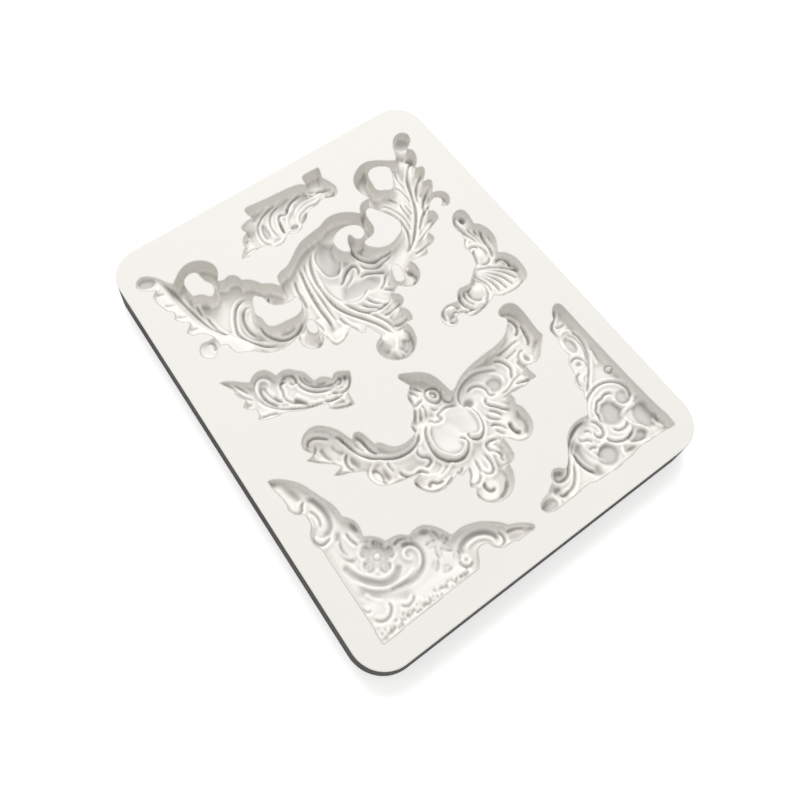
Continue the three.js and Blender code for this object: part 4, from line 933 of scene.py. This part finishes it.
def build_skin():
    """The points, faces and tones of the whole skin."""
    region, edge, near_x, near_y, height, foot_height, slab = lay_out()
    rim = np.zeros(region.shape, bool)
    for first, second in ((np.s_[:-1, :], np.s_[1:, :]), (np.s_[:, :-1], np.s_[:, 1:])):
        crossing = region[first] != region[second]
        first_nearer = edge[first] <= edge[second]
        rim[first] |= crossing & first_nearer
        rim[second] |= crossing & ~first_nearer
    x = np.where(rim, near_x, GX)
    y = np.where(rim, near_y, GY)
    hollow = region > 0
    z = np.where(rim | ~hollow, TOP, height)

    # a rim point of a cavity has two copies lower down: one on the small radius, one at the wall's foot
    signed = np.where(hollow, edge, -edge)
    grad_y, grad_x = np.gradient(soften(signed, 1))
    size = np.maximum(np.hypot(grad_x, grad_y), 1e-6)
    in_x, in_y = grad_x / size, grad_y / size
    count = region.size
    tone = shading(height, hollow)
    # the rims of the cavities get a thin line of painted shade, darkest where the wall below faces
    # RIM_DARK_WAY
    facing = in_x * RIM_DARK_WAY[0] + in_y * RIM_DARK_WAY[1]
    rim_shade = 1 - (1 - PAINTED_RIM_SHADE) * np.clip(0.5 + RIM_DARK_GAIN * facing, 0, 1)
    tone[rim] = rim_shade[rim]
    # the copies on the small radius and at the wall's foot carry painted shade
    tones = [tone.reshape(-1), np.full(count, PAINTED_LIP_SHADE), np.full(count, PAINTED_FOOT_SHADE)]
    lip_height = np.full(x.shape, TOP - LIP_DOWN)
    points = [np.stack([x + inset * in_x, y + inset * in_y, level], -1).reshape(-1, 3)
              for inset, level in ((0, z), (LIP_IN, lip_height), (FOOT_IN, foot_height))]

    # the four corners of each cell, anticlockwise from above
    number = np.arange(count).reshape(region.shape)

    def corners(field):
        four = [field[:-1, :-1], field[:-1, 1:], field[1:, 1:], field[1:, :-1]]
        return np.stack(four, -1).reshape(-1, 4)

    ids, areas, rims = corners(number), corners(region), corners(rim)
    beyond = len(CARVERS) + 1  # no region has this number
    low = np.where(rims, beyond, areas).min(1)
    high = np.where(rims, -beyond, areas).max(1)
    all_rim = rims.all(1)
    low[all_rim] = high[all_rim] = np.sort(areas[all_rim], 1)[:, 2]
    whole = low == high
    faces = {"land": [], "hollow": []}
    tiled = tile_land(whole & (low == 0) & ~rims.any(1), region.shape, faces)
    plain = whole & ~tiled
    faces["land"] += ids[plain & (low == 0)].tolist()
    faces["hollow"] += ids[plain & (low > 0)].tolist()
    for cell in np.nonzero(~whole)[0]:
        a, b, c, d = ids[cell].tolist()
        if rims[cell][0] and rims[cell][2]:
            halves = (((a, b, c), areas[cell][1]), ((a, c, d), areas[cell][3]))
        else:
            halves = (((b, c, d), areas[cell][2]), ((a, b, d), areas[cell][0]))
        for half, area in halves:
            if area >= 0:
                faces["hollow" if area > 0 else "land"].append(list(half))

    flat_rim = rim.reshape(-1)

    def rim_edges(group):
        """The directed edges of these faces that run from one rim point to the next."""
        found = set()
        for face in group:
            for a, b in zip(face, face[1:] + face[:1]):
                if flat_rim[a] and flat_rim[b]:
                    found.add((a, b))
        return found

    on_land, in_hollow = rim_edges(faces["land"]), rim_edges(faces["hollow"])
    made = faces["land"] + [[v + 2 * count if flat_rim[v] else v for v in f] for f in faces["hollow"]]
    for a, b in in_hollow:
        if (b, a) in on_land:
            made.append([a, b, b + count, a + count])
            made.append([a + count, b + count, b + 2 * count, a + 2 * count])
    border = {a: b for a, b in on_land if (b, a) not in on_land and (b, a) not in in_hollow}
    made += slab_sides(border, points, tones, slab, count)
    return np.vstack(points), made, np.concatenate(tones)


def tile_land(plain, shape, faces):
    """Joins blocks of flat land into larger faces. Returns the cells that they cover."""
    across = shape[1] - 1
    plain = plain.reshape(shape[0] - 1, across)
    covered = np.zeros(plain.shape, bool)
    tiles = []
    for size in TILE_SIZES:
        for j in range(0, plain.shape[0] - size + 1, size):
            for i in range(0, plain.shape[1] - size + 1, size):
                block = np.s_[j:j + size, i:i + size]
                if plain[block].all() and not covered[block].any():
                    covered[block] = True
                    tiles.append((j, i, size))
    used = np.zeros(shape, bool)
    loose = ~covered
    for dj, di in ((0, 0), (0, 1), (1, 0), (1, 1)):
        used[dj:shape[0] - 1 + dj, di:shape[1] - 1 + di] |= loose
    for j, i, size in tiles:
        used[j:j + size + 1:size, i:i + size + 1:size] = True
    for j, i, size in tiles:
        span = range(size)
        ring = ([(j, i + k) for k in span] + [(j + k, i + size) for k in span]
                + [(j + size, i + size - k) for k in span] + [(j + size - k, i) for k in span])
        faces["land"].append([a * shape[1] + b for a, b in ring if used[a, b]])
    return covered.reshape(-1)


def slab_sides(border, points, tones, slab, count):
    """The rounded upper edge, the flared side and the underside, from the directed border of the land."""
    start = next(iter(border))
    ring, here = [start], border[start]
    while here != start:
        ring.append(here)
        here = border[here]
    base = points[0][ring]
    tones[0][ring] = 1
    nx, ny = outward(base[:, 0] + LAYOUT_X, base[:, 1] + LAYOUT_Y, slab)
    widest = half_x - slab[0]
    # the rows of the side carry painted shade: the outer wall and its edges are coloured dark
    profile = [(out, TOP - down, tone) for out, down, tone in UPPER_EDGE]
    for k in range(1, SIDE_ROWS + 1):
        share = (k - 0.3) / (SIDE_ROWS + 0.7)
        out = EDGE_INSET + (widest - EDGE_INSET) * k / (SIDE_ROWS + 1)
        profile.append((out, SIDE_TOP + (SIDE_BOTTOM - SIDE_TOP) * share, PAINTED_SIDE_SHADE))
    profile += [(widest - back, up, tone) for back, up, tone in LOWER_EDGE]
    made, size = [], len(ring)
    first = 3 * count
    last = ring
    for out, z, tone in profile:
        tones.append(np.full(size, tone))
        points.append(np.stack([base[:, 0] + nx * out, base[:, 1] + ny * out, np.full(size, z)], -1))
        here = list(range(first, first + size))
        for k in range(size):
            n = (k + 1) % size
            made.append([last[n], last[k], here[k], here[n]])
        last, first = here, first + size
    made.append(last[::-1])
    return made


def make_mesh(name, points, faces, tones):
    """A mesh object in metres from points of the layout in mm, without the points that no face uses."""
    used = np.zeros(len(points), bool)
    for face in faces:
        used[face] = True
    new = np.cumsum(used) - 1
    mesh = bpy.data.meshes.new(name)
    placed = (points[used] + (LAYOUT_X, LAYOUT_Y, 0)) * MM
    mesh.from_pydata(placed.tolist(), [], [new[f].tolist() for f in faces])
    mesh.shade_smooth()
    mesh.attributes.new("tone", "FLOAT", "POINT").data.foreach_set("value", tones[used].astype(np.float32))
    made = bpy.data.objects.new(name, mesh)
    bpy.context.scene.collection.objects.link(made)
    return made


# ---------------------------------------------------------------- materials


def node(tree, kind, **values):
    """A new shader node, with these values set on its inputs or, where it has no such input, on itself."""
    made = tree.nodes.new(kind)
    for key, value in values.items():
        if key in made.inputs:
            made.inputs[key].default_value = value
        else:
            setattr(made, key, value)
    return made


def silicone():
    """Milky rubber: a cloudy tint, a fine grain, and darker and less glossy where the tone attribute
    paints shade.
    """
    material = bpy.data.materials.new("milky_silicone")
    material.use_nodes = True
    tree = material.node_tree
    shader = tree.nodes["Principled BSDF"]
    shader.inputs["Subsurface Weight"].default_value = 0.12
    shader.inputs["Subsurface Radius"].default_value = (1.0, 0.85, 0.7)
    shader.inputs["Subsurface Scale"].default_value = 0.0012
    shader.inputs["IOR"].default_value = 1.41
    link = tree.links.new
    spot = node(tree, "ShaderNodeTexCoord").outputs["Object"]
    cloud = node(tree, "ShaderNodeTexNoise", **{"Scale": 38.0, "Detail": 4.0, "Roughness": 0.55})
    grain = node(tree, "ShaderNodeTexNoise", **{"Scale": 900.0, "Detail": 5.0, "Roughness": 0.6})
    link(spot, cloud.inputs["Vector"])
    link(spot, grain.inputs["Vector"])
    tint = node(tree, "ShaderNodeValToRGB")
    tint.color_ramp.elements[0].position = 0.3
    tint.color_ramp.elements[0].color = (0.875, 0.857, 0.814, 1)
    tint.color_ramp.elements[1].position = 0.7
    tint.color_ramp.elements[1].color = (0.89, 0.872, 0.829, 1)
    link(cloud.outputs["Fac"], tint.inputs["Fac"])
    # the tone attribute brings painted shade and painted highlight into the colour, and lowers the
    # specular level
    tone = node(tree, "ShaderNodeAttribute", attribute_name="tone")
    shaded = node(tree, "ShaderNodeMix", data_type="RGBA", blend_type="MULTIPLY")
    shaded.inputs["Factor"].default_value = 1.0
    link(tint.outputs["Color"], shaded.inputs["A"])
    link(tone.outputs["Fac"], shaded.inputs["B"])
    link(shaded.outputs["Result"], shader.inputs["Base Color"])
    sheen = node(tree, "ShaderNodeMapRange", **{"From Max": 0.6, "To Max": 0.26})
    link(tone.outputs["Fac"], sheen.inputs["Value"])
    link(sheen.outputs["Result"], shader.inputs["Specular IOR Level"])
    gloss = node(tree, "ShaderNodeMapRange",
                 **{"From Min": 0.3, "From Max": 0.7, "To Min": 0.46, "To Max": 0.6})
    link(cloud.outputs["Fac"], gloss.inputs["Value"])
    link(gloss.outputs["Result"], shader.inputs["Roughness"])
    bump = node(tree, "ShaderNodeBump", **{"Strength": 0.12, "Distance": 0.00012})
    link(grain.outputs["Fac"], bump.inputs["Height"])
    link(bump.outputs["Normal"], shader.inputs["Normal"])
    return material


def paper():
    """The white table, which glows a little so that it stays nearly white round the slab."""
    material = bpy.data.materials.new("white_table")
    material.use_nodes = True
    shader = material.node_tree.nodes["Principled BSDF"]
    shader.inputs["Base Color"].default_value = (0.96, 0.96, 0.955, 1)
    shader.inputs["Roughness"].default_value = 0.9
    shader.inputs["Specular IOR Level"].default_value = 0.2
    shader.inputs["Emission Color"].default_value = (1, 1, 0.99, 1)
    shader.inputs["Emission Strength"].default_value = 0.42
    return material


# ---------------------------------------------------------------- the scene


def lamp(name, direction, distance, size, power):
    """A square soft light at that distance from the slab, facing it."""
    data = bpy.data.lights.new(name, "AREA")
    data.size = size
    data.energy = power
    made = bpy.data.objects.new(name, data)
    way = Vector(direction).normalized()
    made.location = Vector((0, 0, TOP * MM)) + way * distance
    made.rotation_euler = (-way).to_track_quat("-Z", "Y").to_euler()
    bpy.context.scene.collection.objects.link(made)


def studio():
    """The table, an even white surrounding, a soft key light from the far side and a weak fill."""
    floor_mesh = bpy.data.meshes.new("table")
    reach = 3.0
    square = [(-reach, -reach, 0), (reach, -reach, 0), (reach, reach, 0), (-reach, reach, 0)]
    floor_mesh.from_pydata(square, [], [(0, 1, 2, 3)])
    floor = bpy.data.objects.new("table", floor_mesh)
    floor.data.materials.append(paper())
    bpy.context.scene.collection.objects.link(floor)
    world = bpy.data.worlds.new("studio_air")
    world.use_nodes = True
    world.node_tree.nodes["Background"].inputs["Color"].default_value = (1, 1, 1, 1)
    world.node_tree.nodes["Background"].inputs["Strength"].default_value = 0.52
    bpy.context.scene.world = world
    lamp("key", direction=(0.45, 0.95, 1.35), distance=2.2, size=1.1, power=26.8)
    lamp("fill", direction=(-0.3, -0.5, 1.6), distance=2.2, size=1.6, power=4.5)
    bpy.context.scene.view_settings.view_transform = "Standard"


def camera():
    """Looks down on the slab from its lower left, at the angle of the photograph."""
    data = bpy.data.cameras.new("camera")
    data.lens = 31.78
    data.sensor_width = 36
    data.shift_x = 0.0625
    data.shift_y = -0.0625
    data.clip_start = 0.01
    made = bpy.data.objects.new("camera", data)
    right = Vector((0.82128, -0.57051, -0.00459))
    down = Vector((-0.52604, -0.75410, -0.39321))
    ahead = Vector((0.22087, 0.32535, -0.91944))
    place = Matrix.Translation((-0.05771, -0.06309, 0.20495))
    made.matrix_world = place @ Matrix((right, -down, -ahead)).transposed().to_4x4()
    bpy.context.scene.collection.objects.link(made)
    bpy.context.scene.camera = made


camera()
studio()
skin = make_mesh("silicone_skin", *build_skin())
skin.data.materials.append(silicone())
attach(skin, "root")
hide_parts(*CARVERS)
